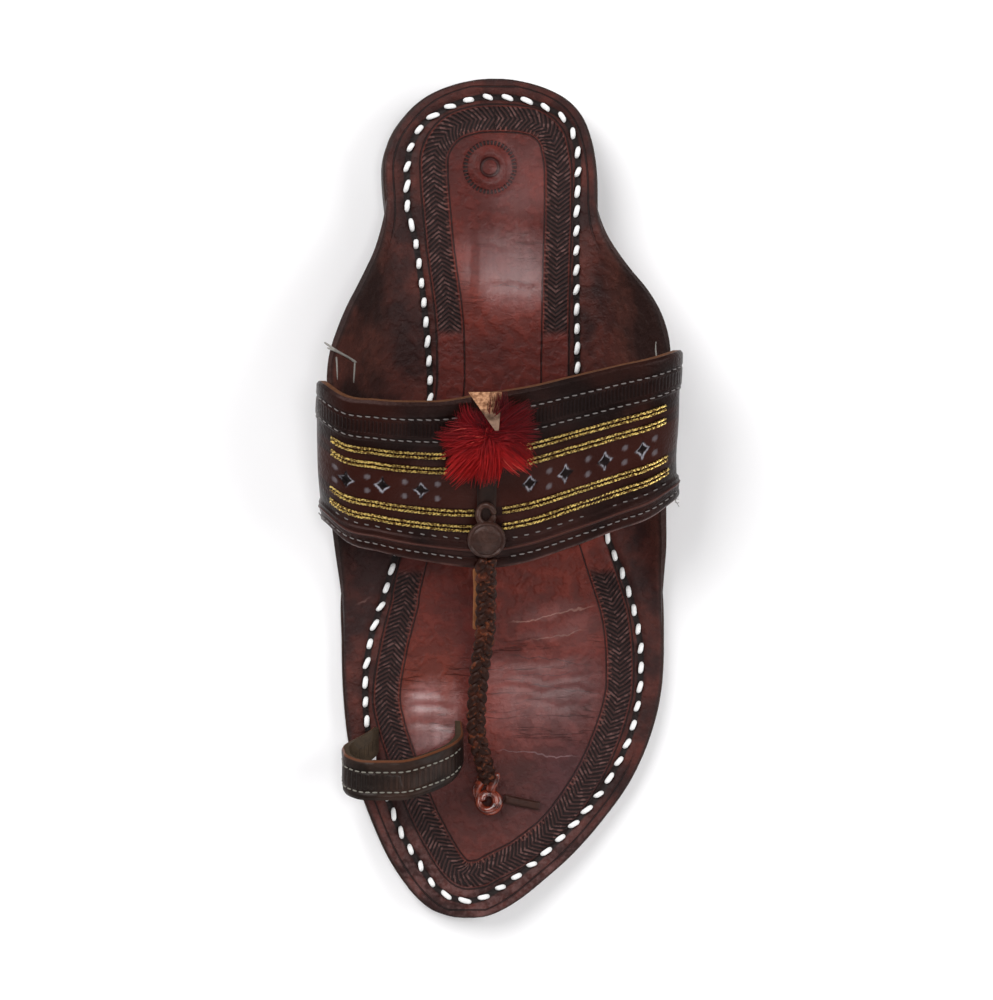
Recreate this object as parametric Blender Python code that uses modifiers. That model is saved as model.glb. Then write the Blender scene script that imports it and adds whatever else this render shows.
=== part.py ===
"""Kolhapuri sandal for the left foot, built from its separate leather pieces.

Metres. +X points to the outer side of the foot, +Y to the heel and +Z up. The origin is on
the floor under the middle of the sandal.
"""

import math

import bmesh
import bpy
import numpy as np

# Sole
SOLE_LENGTH = 0.280
BALL_WIDTH = 0.1086
OUTSOLE_THICKNESS = 0.005
TOP_SOLE_THICKNESS = 0.0024
TOP_SOLE_MARGIN = 0.0008
TOE_SPRING = 0.005
GAP = 0.0003

# Heel
LIFT_COUNT = 3
LIFT_THICKNESS = 0.0038
HEEL_BREAST_CURVE = 0.004

# Ears, the side wings of the top sole
EAR_HEIGHT = 0.029
EAR_BEND = 0.55
BEND_START = 0.85

# Instep band
BAND_WALL = 0.0030
BAND_FIELD_SHARE = 0.8
BAND_FRONT_HEIGHT = 0.0435
BAND_REAR_HEIGHT = 0.0610
BAND_CORNER_POWER = 3.2
BAND_SEAT_CLEARANCE = 0.0006
FRONT_TRIM_SHARE = 0.15
REAR_TRIM_SHARE = 0.255

# Tab, pompom and button on the band
TAB_THICKNESS = 0.0015
POMPOM_RADIUS = 0.0165
POMPOM_HEIGHT = 0.0105
POMPOM_LOCKS = 17
BUTTON_RADIUS = 0.0062
BUTTON_THICKNESS = 0.0030

# Braid, knot and peg
BRAID_WIDTH = 0.0070
BRAID_THICKNESS = 0.0044
BRAID_PITCH = 0.0054
BRAID_RELIEF = 0.16
KNOT_RADIUS = 0.0050
KNOT_HEIGHT = 0.0066
PEG_LENGTH = 0.0120
PEG_WIDTH = 0.0030
PEG_THICKNESS = 0.0014

# Toe loop
LOOP_WALL = 0.0024
LOOP_WIDTH = 0.0132
LOOP_HEIGHT = 0.0215

# Stations along the sandal, as shares of SOLE_LENGTH from the toe tip (0) to the heel (1)
TOE_BREAK = 0.161
WAIST_START = 0.457
WAIST_END = 0.782
HEEL_BREAST = 0.793
POMPOM_ALONG = 0.575
BUTTON_ALONG = 0.4585
KNOT_ALONG = 0.139
MIDDLE_ACROSS = -0.042

# The outsole's outline: left and right edges as shares of BALL_WIDTH.
SOLE_ROWS = (
    # along, left, right
    (0.000, -0.098, -0.052),
    (0.002, -0.140, -0.012),
    (0.007, -0.180, 0.024),
    (0.021, -0.230, 0.087),
    (0.043, -0.278, 0.160),
    (0.071, -0.324, 0.244),
    (0.111, -0.371, 0.338),
    (0.157, -0.414, 0.425),
    (0.207, -0.445, 0.486),
    (0.264, -0.461, 0.525),
    (0.325, -0.466, 0.535),
    (0.400, -0.464, 0.529),
    (0.464, -0.419, 0.502),
    (0.518, -0.355, 0.456),
    (0.571, -0.300, 0.391),
    (0.632, -0.272, 0.339),
    (0.696, -0.274, 0.319),
    (0.750, -0.290, 0.315),
    (0.800, -0.313, 0.315),
    (0.846, -0.334, 0.319),
    (0.893, -0.343, 0.316),
    (0.929, -0.322, 0.300),
    (0.957, -0.274, 0.271),
    (0.979, -0.210, 0.216),
    (0.993, -0.129, 0.134),
    (0.998, -0.072, 0.078),
    (1.000, -0.025, 0.031),
)

# The ears' top edges: reach as shares of BALL_WIDTH, rise as shares of EAR_HEIGHT.
EAR_ROWS = (
    # along, left reach, right reach, left rise, right rise
    (0.325, -0.459, 0.528, 0.000, 0.000),
    (0.364, -0.460, 0.525, 0.028, 0.028),
    (0.400, -0.466, 0.524, 0.103, 0.086),
    (0.439, -0.479, 0.525, 0.276, 0.224),
    (0.479, -0.492, 0.518, 0.534, 0.448),
    (0.518, -0.503, 0.510, 0.759, 0.707),
    (0.571, -0.507, 0.508, 0.931, 0.914),
    (0.632, -0.507, 0.508, 1.000, 1.000),
    (0.671, -0.499, 0.508, 0.931, 0.983),
    (0.696, -0.479, 0.501, 0.828, 0.897),
    (0.729, -0.444, 0.473, 0.655, 0.724),
    (0.750, -0.416, 0.442, 0.534, 0.586),
    (0.771, -0.389, 0.402, 0.414, 0.431),
    (0.793, -0.363, 0.365, 0.276, 0.276),
    (0.814, -0.346, 0.337, 0.145, 0.138),
    (0.836, -0.335, 0.320, 0.048, 0.041),
    (0.857, -0.331, 0.311, 0.000, 0.000),
)

# The band's front and rear edges, along the sandal, from its left side (-1) to its right (1).
BAND_ROWS = (
    # across, front, rear
    (-1.00, 0.476, 0.639),
    (-0.90, 0.456, 0.624),
    (-0.70, 0.442, 0.617),
    (-0.40, 0.430, 0.615),
    (-0.10, 0.423, 0.624),
    (0.15, 0.430, 0.632),
    (0.40, 0.448, 0.644),
    (0.65, 0.467, 0.656),
    (0.88, 0.486, 0.667),
    (1.00, 0.504, 0.675),
)
BAND_END_LEFT = (0.468, 0.614)
BAND_END_RIGHT = (0.512, 0.646)
BAND_END_DEPTH = 0.5
ARCH_SHARE = 0.72

# Half widths of the tab from the button to the band's rear edge, shares of BUTTON_RADIUS.
TAB_ROWS = (
    # along, half width
    (0.440, 0.45),
    (0.500, 0.50),
    (0.560, 0.52),
    (0.590, 0.55),
    (0.618, 0.80),
)

# The braid's middle line: along, across as a share of BALL_WIDTH, and height above the top sole.
BRAID_ROWS = (
    # along, across, height
    (0.432, -0.043, 0.0431),
    (0.416, -0.042, 0.0411),
    (0.392, -0.038, 0.0365),
    (0.352, -0.038, 0.0315),
    (0.300, -0.053, 0.0257),
    (0.250, -0.060, 0.0200),
    (0.224, -0.058, 0.0168),
    (0.202, -0.044, 0.0142),
    (0.184, -0.030, 0.0105),
    (0.172, -0.022, 0.0072),
    (0.163, -0.017, 0.0046),
)

# The toe loop's middle line: across and along as above, height as a share of LOOP_HEIGHT,
# width as a share of LOOP_WIDTH.
LOOP_ROWS = (
    # step, across, along, height, width
    (0.00, -0.362, 0.213, 0.00, 0.62),
    (0.10, -0.376, 0.208, 0.13, 0.70),
    (0.24, -0.452, 0.187, 0.36, 0.92),
    (0.34, -0.455, 0.178, 0.66, 1.00),
    (0.46, -0.395, 0.170, 0.95, 1.00),
    (0.58, -0.300, 0.170, 1.00, 1.00),
    (0.70, -0.205, 0.178, 0.88, 1.00),
    (0.82, -0.128, 0.191, 0.58, 0.95),
    (0.91, -0.104, 0.205, 0.26, 0.84),
    (1.00, -0.106, 0.218, 0.00, 0.74),
)

# How far the pompom's locks reach around it, as shares of POMPOM_RADIUS.
POMPOM_ROWS = (
    # turn, reach
    (0.000, 0.92),
    (0.125, 1.05),
    (0.200, 0.72),
    (0.280, 0.42),
    (0.375, 0.62),
    (0.500, 1.00),
    (0.625, 1.06),
    (0.750, 1.02),
    (0.875, 0.90),
    (1.000, 0.92),
)


def clear_scene():
    for found in list(bpy.data.objects):
        bpy.data.objects.remove(found, do_unlink=True)


def follow(rows, column, at):
    """A smooth curve through one column of a table, read at values of its first column."""
    stations = np.array([row[0] for row in rows])
    values = np.array([row[column] for row in rows])
    steps = np.diff(stations)
    slopes = np.diff(values) / steps
    weighted = (slopes[:-1] * steps[1:] + slopes[1:] * steps[:-1]) / (steps[:-1] + steps[1:])
    inner = np.where(slopes[:-1] * slopes[1:] > 0, weighted, 0.0)
    tangents = np.concatenate([slopes[:1], inner, slopes[-1:]])
    at = np.clip(at, stations[0], stations[-1])
    cell = np.clip(np.searchsorted(stations, at, side="right") - 1, 0, len(steps) - 1)
    step = steps[cell]
    part = (at - stations[cell]) / step
    rest = 1 - part
    start = (1 + 2 * part) * rest**2 * values[cell] + part * rest**2 * step * tangents[cell]
    end = part**2 * (3 - 2 * part) * values[cell + 1] - part**2 * rest * step * tangents[cell + 1]
    return start + end


def place_y(along):
    return (np.asarray(along) - 0.5) * SOLE_LENGTH


def share_along(y):
    return np.asarray(y) / SOLE_LENGTH + 0.5


def smooth_step(value):
    value = np.clip(value, 0, 1)
    return value * value * (3 - 2 * value)


def heel_seat():
    return LIFT_COUNT * (LIFT_THICKNESS + GAP)


def underside(y):
    """Height of the outsole's bottom: toe spring, flat forefoot, rising waist, level heel."""
    along = share_along(y)
    spring = np.clip((TOE_BREAK - along) / TOE_BREAK, 0, 1) ** 2
    rise = smooth_step((along - WAIST_START) / (WAIST_END - WAIST_START))
    return TOE_SPRING * spring + heel_seat() * rise


def top_sole_middle(y):
    return underside(y) + OUTSOLE_THICKNESS + GAP + TOP_SOLE_THICKNESS / 2


def top_sole_surface(y):
    return top_sole_middle(y) + TOP_SOLE_THICKNESS / 2


def sole_edge(y, side):
    return follow(SOLE_ROWS, 1 if side < 0 else 2, share_along(y)) * BALL_WIDTH


def inner_edge(y, side):
    return sole_edge(y, side) - side * TOP_SOLE_MARGIN


def in_ear(y):
    along = share_along(y)
    return (along > EAR_ROWS[0][0]) & (along < EAR_ROWS[-1][0])


def top_edge(y, side):
    """The top sole's edge: a margin inside the outsole, or out along an ear."""
    reach = follow(EAR_ROWS, 1 if side < 0 else 2, share_along(y)) * BALL_WIDTH
    return np.where(in_ear(y), reach, inner_edge(y, side))


def ear_rise(y, side):
    rise = follow(EAR_ROWS, 3 if side < 0 else 4, share_along(y)) * EAR_HEIGHT
    return np.where(in_ear(y), rise, 0.0)


def ear_section(y, side, part, outward=0.0):
    """The wing's section at y: level where it leaves the sole, then curving up to its edge.

    part runs from the sole (0) to the edge (1), and outward moves the point off the middle
    of the leather to its outer side.
    """
    middle = (sole_edge(y, -1) + sole_edge(y, 1)) / 2
    start = middle + (inner_edge(y, side) - middle) * BEND_START
    end = top_edge(y, side)
    bend = start + (end - start) * EAR_BEND
    rise = ear_rise(y, side)
    x = (1 - part) ** 2 * start + 2 * part * (1 - part) * bend + part**2 * end
    z = top_sole_middle(y) + part**2 * rise
    along_x = (1 - part) * (bend - start) + part * (end - bend)
    along_z = part * rise
    length = np.hypot(along_x, along_z)
    x = x + outward * side * along_z / length
    z = z - outward * side * along_x / length
    return x, z


def band_share(across, y):
    """Where y lies on the band, from its front edge (0) to its rear edge (1)."""
    front = place_y(follow(BAND_ROWS, 1, across))
    rear = place_y(follow(BAND_ROWS, 2, across))
    return (y - front) / (rear - front)


def band_crown(share):
    return BAND_FRONT_HEIGHT + (BAND_REAR_HEIGHT - BAND_FRONT_HEIGHT) * share


def band_point(across_step, share):
    """A point on the band's inner face.

    across_step runs from the left end (-1) over the arch to the right end (1). The arch is a
    squared arc that springs from the ears' edges, and each end lies along its ear's outside.
    """
    side = -1 if across_step < 0 else 1
    size = abs(across_step)
    lift = BAND_SEAT_CLEARANCE + TOP_SOLE_THICKNESS / 2
    if size > ARCH_SHARE:
        down = (size - ARCH_SHARE) / (1 - ARCH_SHARE)
        row = BAND_ROWS[0] if side < 0 else BAND_ROWS[-1]
        end = BAND_END_LEFT if side < 0 else BAND_END_RIGHT
        front = row[1] + (end[0] - row[1]) * down
        rear = row[2] + (end[1] - row[2]) * down
        y = place_y(front + (rear - front) * share)
        x, z = ear_section(y, side, 1 - down * BAND_END_DEPTH, lift)
        return x, y, z
    angle = (1 - size / ARCH_SHARE) * math.pi / 2
    across = side * math.cos(angle) ** (2 / BAND_CORNER_POWER)
    front = follow(BAND_ROWS, 1, across)
    rear = follow(BAND_ROWS, 2, across)
    y = place_y(front + (rear - front) * share)
    spring_x, spring_z = ear_section(y, side, 1.0, lift)
    up = math.sin(angle) ** (2 / BAND_CORNER_POWER)
    z = spring_z + (band_crown(share) - spring_z) * up
    return spring_x * abs(across), y, z


def band_outside(x, y):
    """Height of the band's outer face near its middle."""
    side = np.where(np.asarray(x) < 0, -1, 1)
    lift = BAND_SEAT_CLEARANCE + TOP_SOLE_THICKNESS / 2
    left_x, left_z = ear_section(y, -1, 1.0, lift)
    right_x, right_z = ear_section(y, 1, 1.0, lift)
    spring_x = np.where(side < 0, left_x, right_x)
    spring_z = np.where(side < 0, left_z, right_z)
    across = np.clip(x / spring_x, 0, 1)
    share = band_share(across * side, y)
    up = (1 - across**BAND_CORNER_POWER) ** (1 / BAND_CORNER_POWER)
    return spring_z + (band_crown(share) - spring_z) * up + BAND_WALL


def band_slope():
    """Angle at which the band's middle rises towards the heel."""
    middle = MIDDLE_ACROSS * BALL_WIDTH
    y = place_y(BUTTON_ALONG)
    run = BUTTON_RADIUS
    rise = band_outside(middle, y + run) - band_outside(middle, y - run)
    return math.atan2(float(rise), 2 * run)


def leather(name, colour, roughness, metallic=0.0):
    made = bpy.data.materials.new(name)
    made.use_nodes = True
    shader = made.node_tree.nodes["Principled BSDF"]
    shader.inputs["Base Color"].default_value = (*colour, 1.0)
    shader.inputs["Roughness"].default_value = roughness
    shader.inputs["Metallic"].default_value = metallic
    made.diffuse_color = (*colour, 1.0)
    return made


def add_object(name, data, material, collection, smooth_angle=40):
    made = bpy.data.objects.new(name, data)
    collection.objects.link(made)
    data.materials.append(material)
    if isinstance(data, bpy.types.Mesh):
        data.shade_smooth()
        data.set_sharp_from_angle(angle=math.radians(smooth_angle))
    return made


def sheet_mesh(name, points):
    """An open grid surface: rows run towards the heel and columns from left to right."""
    rows, columns, _ = points.shape
    index = np.arange(rows * columns).reshape(rows, columns)
    corners = (index[:-1, :-1], index[:-1, 1:], index[1:, 1:], index[1:, :-1])
    faces = np.stack(corners, axis=-1).reshape(-1, 4)
    mesh = bpy.data.meshes.new(name)
    mesh.from_pydata(points.reshape(-1, 3).tolist(), [], faces.tolist())
    return mesh


def closed_mesh(name, rings):
    """A closed surface through rings of points, with a flat cap on its first and last ring."""
    rows, columns, _ = rings.shape
    index = np.arange(rows * columns).reshape(rows, columns)
    beside = np.roll(index, -1, axis=1)
    corners = (index[:-1], beside[:-1], beside[1:], index[1:])
    faces = np.stack(corners, axis=-1).reshape(-1, 4).tolist()
    faces += [index[0].tolist(), index[-1].tolist()]
    mesh = bpy.data.meshes.new(name)
    mesh.from_pydata(rings.reshape(-1, 3).tolist(), [], faces)
    body = bmesh.new()
    body.from_mesh(mesh)
    bmesh.ops.recalc_face_normals(body, faces=body.faces)
    body.to_mesh(mesh)
    body.free()
    return mesh


def thicken(made, thickness, offset):
    solid = made.modifiers.new("wall", "SOLIDIFY")
    solid.thickness = thickness
    solid.offset = offset
    return solid


def sole_stations(count=54):
    """Stations that crowd towards the round toe and heel."""
    turn = np.linspace(0, math.pi, count)
    return place_y((1 - np.cos(turn)) / 2)


def build_outsole(collection):
    y = sole_stations()
    across = np.linspace(0, 1, 5)
    left = sole_edge(y, -1)[:, None]
    right = sole_edge(y, 1)[:, None]
    x = left + (right - left) * across
    z = np.broadcast_to((underside(y) + OUTSOLE_THICKNESS)[:, None], x.shape)
    points = np.stack([x, np.broadcast_to(y[:, None], x.shape), z], axis=-1)
    skin = leather("outsole_leather", (0.10, 0.055, 0.040), 0.75)
    made = add_object("outsole", sheet_mesh("outsole", points), skin, collection)
    thicken(made, OUTSOLE_THICKNESS, -1)


def build_top_sole(collection):
    """The stamped footbed leather with both ears, one sheet of leather."""
    y = sole_stations()
    wing = np.array([1.0, 0.85, 0.65, 0.45, 0.25, 0.0])
    columns = [ear_section(y, -1, part) for part in wing]
    left_x, flat_z = columns[-1]
    right_x, _ = ear_section(y, 1, 0.0)
    for part in (0.25, 0.5, 0.75):
        columns.append((left_x + (right_x - left_x) * part, flat_z))
    columns += [ear_section(y, 1, part) for part in wing[::-1]]
    x = np.stack([column[0] for column in columns], axis=1)
    z = np.stack([column[1] for column in columns], axis=1)
    points = np.stack([x, np.broadcast_to(y[:, None], x.shape), z], axis=-1)
    skin = leather("top_sole_leather", (0.17, 0.050, 0.036), 0.35)
    made = add_object("top_sole", sheet_mesh("top_sole", points), skin, collection)
    thicken(made, TOP_SOLE_THICKNESS, 0)


def build_heel_lifts(collection):
    """Stacked lifts with the outsole's outline, cut in a shallow curve at the heel breast."""
    breast = place_y(HEEL_BREAST)
    back = SOLE_LENGTH / 2
    turn = np.linspace(0, math.pi / 2, 12)
    y = breast + (back - breast) * np.sin(turn)
    left = sole_edge(y, -1)
    right = sole_edge(y, 1)
    share = np.linspace(0, 1, 9)[1:-1]
    breast_x = right[0] + (left[0] - right[0]) * share
    breast_y = breast + HEEL_BREAST_CURVE * 4 * share * (1 - share)
    x = np.concatenate([left, right[::-1], breast_x])
    y = np.concatenate([y, y[::-1], breast_y])
    skin = leather("lift_leather", (0.045, 0.030, 0.026), 0.60)
    for number in range(LIFT_COUNT):
        outline = bpy.data.curves.new(f"heel_lift_{number + 1}", "CURVE")
        outline.dimensions = "2D"
        outline.fill_mode = "BOTH"
        outline.extrude = LIFT_THICKNESS / 2
        spline = outline.splines.new("POLY")
        spline.points.add(len(x) - 1)
        spline.use_cyclic_u = True
        for point, at_x, at_y in zip(spline.points, x, y):
            point.co = (at_x, at_y, 0, 1)
        made = add_object(f"heel_lift_{number + 1}", outline, skin, collection)
        made.location.z = number * (LIFT_THICKNESS + GAP) + LIFT_THICKNESS / 2


def build_band(collection):
    """The instep band, one wall that is thicker along its front and rear trims."""
    step = 0.006
    shares = np.array(
        [0.0, FRONT_TRIM_SHARE / 2, FRONT_TRIM_SHARE - step, FRONT_TRIM_SHARE + step]
        + [0.30, 0.45, 0.60]
        + [1 - REAR_TRIM_SHARE - step, 1 - REAR_TRIM_SHARE + step, 1 - REAR_TRIM_SHARE / 2, 1.0]
    )
    end = np.linspace(ARCH_SHARE, 1, 5)[1:]
    arch = np.linspace(0, ARCH_SHARE, 13)
    half = np.concatenate([arch, end])
    across = np.concatenate([-half[:0:-1], half])
    points = np.array([[band_point(at, share) for at in across] for share in shares], float)
    skin = leather("band_leather", (0.055, 0.026, 0.022), 0.42)
    made = add_object("instep_band", sheet_mesh("instep_band", points), skin, collection, 25)
    wall = made.vertex_groups.new(name="wall")
    for row, share in enumerate(shares):
        trim = share < FRONT_TRIM_SHARE or share > 1 - REAR_TRIM_SHARE
        first = row * len(across)
        weight = 1.0 if trim else BAND_FIELD_SHARE
        wall.add(list(range(first, first + len(across))), weight, "REPLACE")
    solid = thicken(made, BAND_WALL, 1)
    solid.vertex_group = "wall"


def build_tab(collection):
    """A strip along the band's middle, from under the button to the rear edge."""
    middle = MIDDLE_ACROSS * BALL_WIDTH
    y = place_y(np.linspace(TAB_ROWS[0][0], TAB_ROWS[-1][0], 12))
    half = follow(TAB_ROWS, 1, share_along(y)) * BUTTON_RADIUS
    across = np.array([-1.0, 0.0, 1.0])
    x = middle + half[:, None] * across
    rows = np.broadcast_to(y[:, None], x.shape)
    z = band_outside(x, rows) + 1.5 * GAP
    points = np.stack([x, rows, z], axis=-1)
    skin = leather("tab_leather", (0.070, 0.036, 0.026), 0.60)
    made = add_object("tab", sheet_mesh("tab", points), skin, collection)
    thicken(made, TAB_THICKNESS, 1)


def build_pompom(collection):
    """A low fan of locks fused into one body: ridges run out from its middle to their tips."""
    rings, around = 9, POMPOM_LOCKS * 4
    turn = np.arange(around) / around
    reach = follow(POMPOM_ROWS, 1, turn) * POMPOM_RADIUS
    ridge = np.abs(np.cos(turn * POMPOM_LOCKS * math.pi))
    rise = np.linspace(-0.42, 0.5, rings)[:, None] * math.pi
    outward = np.cos(rise)
    radius = reach * outward * (1 - 0.20 * (1 - ridge) * outward)
    x = MIDDLE_ACROSS * BALL_WIDTH + radius * np.cos(turn * 2 * math.pi)
    y = place_y(POMPOM_ALONG) + radius * np.sin(turn * 2 * math.pi)
    height = np.where(rise < 0, 0.28, 0.72) * np.sin(rise) * (1 - 0.12 * (1 - ridge) * outward)
    seat = band_outside(x, y) + TAB_THICKNESS + 2.5 * GAP
    z = seat + POMPOM_HEIGHT * (0.28 + height)
    points = np.stack([x, y, z], axis=-1)[:-1]
    fibre = leather("pompom_fibre", (0.34, 0.010, 0.014), 0.85)
    mesh = closed_mesh("pompom", points)
    add_object("pompom", mesh, fibre, collection, 60)


def build_button(collection):
    """A covered button: a low dome inside a rolled rim, turned about its middle."""
    rim = BUTTON_RADIUS
    top = BUTTON_THICKNESS
    profile = (
        # radius share, height share
        (0.0, 1.00),
        (0.40, 0.96),
        (0.70, 0.82),
        (0.80, 0.70),
        (0.90, 0.80),
        (0.98, 0.66),
        (1.00, 0.40),
        (0.94, 0.08),
        (0.86, 0.00),
        (0.0, 0.00),
    )
    points = [(share * rim, 0, high * top) for share, high in profile]
    edges = [(start, start + 1) for start in range(len(points) - 1)]
    mesh = bpy.data.meshes.new("button")
    mesh.from_pydata(points, edges, [])
    skin = leather("button_leather", (0.060, 0.038, 0.034), 0.38)
    made = add_object("button", mesh, skin, collection)
    turn = made.modifiers.new("turn", "SCREW")
    turn.steps = 24
    turn.render_steps = 24
    turn.use_merge_vertices = True
    turn.merge_threshold = 0.00002
    turn.use_smooth_shade = True
    x = MIDDLE_ACROSS * BALL_WIDTH
    y = float(place_y(BUTTON_ALONG))
    slope = band_slope()
    lift = TAB_THICKNESS + 3 * GAP
    z = float(band_outside(x, y))
    made.location = (x, y - lift * math.sin(slope), z + lift * math.cos(slope))
    made.rotation_euler = (slope, 0, 0)


def braid_path(count):
    """Points of the braid's middle line, evenly spaced along it."""
    rows = [(step, *row) for step, row in enumerate(BRAID_ROWS)]
    step = np.linspace(0, len(rows) - 1, 400)
    y = place_y(follow(rows, 1, step))
    x = follow(rows, 2, step) * BALL_WIDTH
    z = top_sole_surface(y) + follow(rows, 3, step)
    points = np.stack([x, y, z], axis=-1)
    length = np.concatenate([[0], np.cumsum(np.linalg.norm(np.diff(points, axis=0), axis=1))])
    even = np.linspace(0, length[-1], count)
    placed = [np.interp(even, length, points[:, axis]) for axis in range(3)]
    return np.stack(placed, axis=-1), length[-1]


def build_braid(collection):
    """A flat plait: one wall whose crossing strips stand out in turn from either side."""
    _, length = braid_path(2)
    count = int(round(length / BRAID_PITCH)) * 6 + 1
    path, length = braid_path(count)
    around = 12
    ahead = np.gradient(path, axis=0)
    ahead /= np.linalg.norm(ahead, axis=1)[:, None]
    side = np.cross(ahead, (0.0, 0.0, 1.0))
    side /= np.linalg.norm(side, axis=1)[:, None]
    up = np.cross(side, ahead)
    turn = np.arange(around) / around * 2 * math.pi
    across = np.sign(np.cos(turn)) * np.abs(np.cos(turn)) ** 0.75
    high = np.sign(np.sin(turn)) * np.abs(np.sin(turn)) ** 0.75
    travel = np.linspace(0, length / BRAID_PITCH, count)[:, None]
    phase = travel + 0.5 * (across < 0) - 0.5 * np.abs(across)
    swell = 1 + BRAID_RELIEF * np.cos(phase * 2 * math.pi)
    taper = 1 - 0.12 * np.linspace(0, 1, count)[:, None]
    wide = across * BRAID_WIDTH / 2 * swell * taper
    tall = high * BRAID_THICKNESS / 2 * swell * taper
    rings = path[:, None, :] + side[:, None, :] * wide[..., None] + up[:, None, :] * tall[..., None]
    skin = leather("braid_leather", (0.060, 0.022, 0.014), 0.45)
    add_object("braid", closed_mesh("braid", rings), skin, collection)


def build_knot(collection):
    """The rolled leather knot at the toe: a low bead with a dimple where the roll closes."""
    profile = (
        # radius share, height share
        (0.0, 0.80),
        (0.22, 0.82),
        (0.38, 0.96),
        (0.60, 1.00),
        (0.84, 0.86),
        (1.00, 0.52),
        (0.92, 0.18),
        (0.70, 0.00),
        (0.0, 0.00),
    )
    points = [(share * KNOT_RADIUS, 0, high * KNOT_HEIGHT) for share, high in profile]
    edges = [(start, start + 1) for start in range(len(points) - 1)]
    mesh = bpy.data.meshes.new("toe_knot")
    mesh.from_pydata(points, edges, [])
    skin = leather("knot_leather", (0.20, 0.050, 0.022), 0.28)
    made = add_object("toe_knot", mesh, skin, collection)
    turn = made.modifiers.new("turn", "SCREW")
    turn.steps = 20
    turn.render_steps = 20
    turn.use_merge_vertices = True
    turn.merge_threshold = 0.00002
    turn.use_smooth_shade = True
    y = float(place_y(KNOT_ALONG))
    made.location = (knot_x(), y, float(top_sole_surface(y)) + 1.5 * GAP)


def knot_x():
    return BRAID_ROWS[-1][1] * BALL_WIDTH


def build_peg(collection):
    """The flat peg strip beside the knot, lying on the top sole."""
    mesh = bpy.data.meshes.new("peg_strip")
    body = bmesh.new()
    bmesh.ops.create_cube(body, size=1.0)
    bmesh.ops.scale(body, vec=(PEG_LENGTH, PEG_WIDTH, PEG_THICKNESS), verts=body.verts)
    body.to_mesh(mesh)
    body.free()
    skin = leather("peg_leather", (0.040, 0.018, 0.014), 0.45)
    made = add_object("peg_strip", mesh, skin, collection)
    edge = made.modifiers.new("edge", "BEVEL")
    edge.width = PEG_THICKNESS / 4
    edge.segments = 2
    lean = math.radians(-12)
    y = float(place_y(KNOT_ALONG)) + math.sin(lean) * PEG_LENGTH / 4
    x = knot_x() + KNOT_RADIUS + 2 * GAP + PEG_LENGTH / 2
    made.location = (x, y, float(top_sole_surface(y)) + 1.5 * GAP + PEG_THICKNESS / 2)
    made.rotation_euler = (0, 0, lean)


def build_toe_loop(collection):
    """The big toe's loop: a strap that bulges past the sole's edge and stands on both feet."""
    step = np.linspace(0, 1, 25)
    x = follow(LOOP_ROWS, 1, step) * BALL_WIDTH
    y = place_y(follow(LOOP_ROWS, 2, step))
    high = follow(LOOP_ROWS, 3, step) * LOOP_HEIGHT
    half = follow(LOOP_ROWS, 4, step) * LOOP_WIDTH / 2
    width = np.array([-1.0, 0.0, 1.0])[:, None]
    rows_y = y + half * width
    rows_x = np.broadcast_to(x, rows_y.shape)
    rows_z = top_sole_surface(rows_y) + 2 * GAP + high
    points = np.stack([rows_x, rows_y, rows_z], axis=-1)
    skin = leather("loop_leather", (0.050, 0.026, 0.023), 0.42)
    made = add_object("toe_loop", sheet_mesh("toe_loop", points), skin, collection)
    thicken(made, LOOP_WALL, 0)


def main():
    clear_scene()
    collection = bpy.data.collections.new("kolhapuri_sandal")
    bpy.context.scene.collection.children.link(collection)
    build_outsole(collection)
    build_heel_lifts(collection)
    build_top_sole(collection)
    build_band(collection)
    build_tab(collection)
    build_pompom(collection)
    build_button(collection)
    build_braid(collection)
    build_knot(collection)
    build_peg(collection)
    build_toe_loop(collection)
    bpy.context.view_layer.update()


main()
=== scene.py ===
import math

import bpy
import numpy as np
from mathutils import Matrix, Vector


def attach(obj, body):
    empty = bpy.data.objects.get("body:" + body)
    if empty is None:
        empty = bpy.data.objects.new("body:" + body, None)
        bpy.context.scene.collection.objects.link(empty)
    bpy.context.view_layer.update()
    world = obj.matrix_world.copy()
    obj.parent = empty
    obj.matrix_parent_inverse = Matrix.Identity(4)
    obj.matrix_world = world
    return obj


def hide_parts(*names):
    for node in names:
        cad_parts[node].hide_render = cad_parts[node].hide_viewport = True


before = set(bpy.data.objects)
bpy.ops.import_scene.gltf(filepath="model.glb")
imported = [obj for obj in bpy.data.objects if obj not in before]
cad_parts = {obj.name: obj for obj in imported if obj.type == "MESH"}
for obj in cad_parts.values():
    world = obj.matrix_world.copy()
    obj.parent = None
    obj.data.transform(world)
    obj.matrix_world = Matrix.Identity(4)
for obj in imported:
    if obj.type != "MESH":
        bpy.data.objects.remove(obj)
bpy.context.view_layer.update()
print("frame loaded")

# Lengths are in metres unless a note says otherwise. A tone is a colour as a screen shows it,
# 0 to 255. A leather is its dark tone, light tone and roughness, then plainLeather's other values.
millimetre = 0.001
gap = 0.0003

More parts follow.
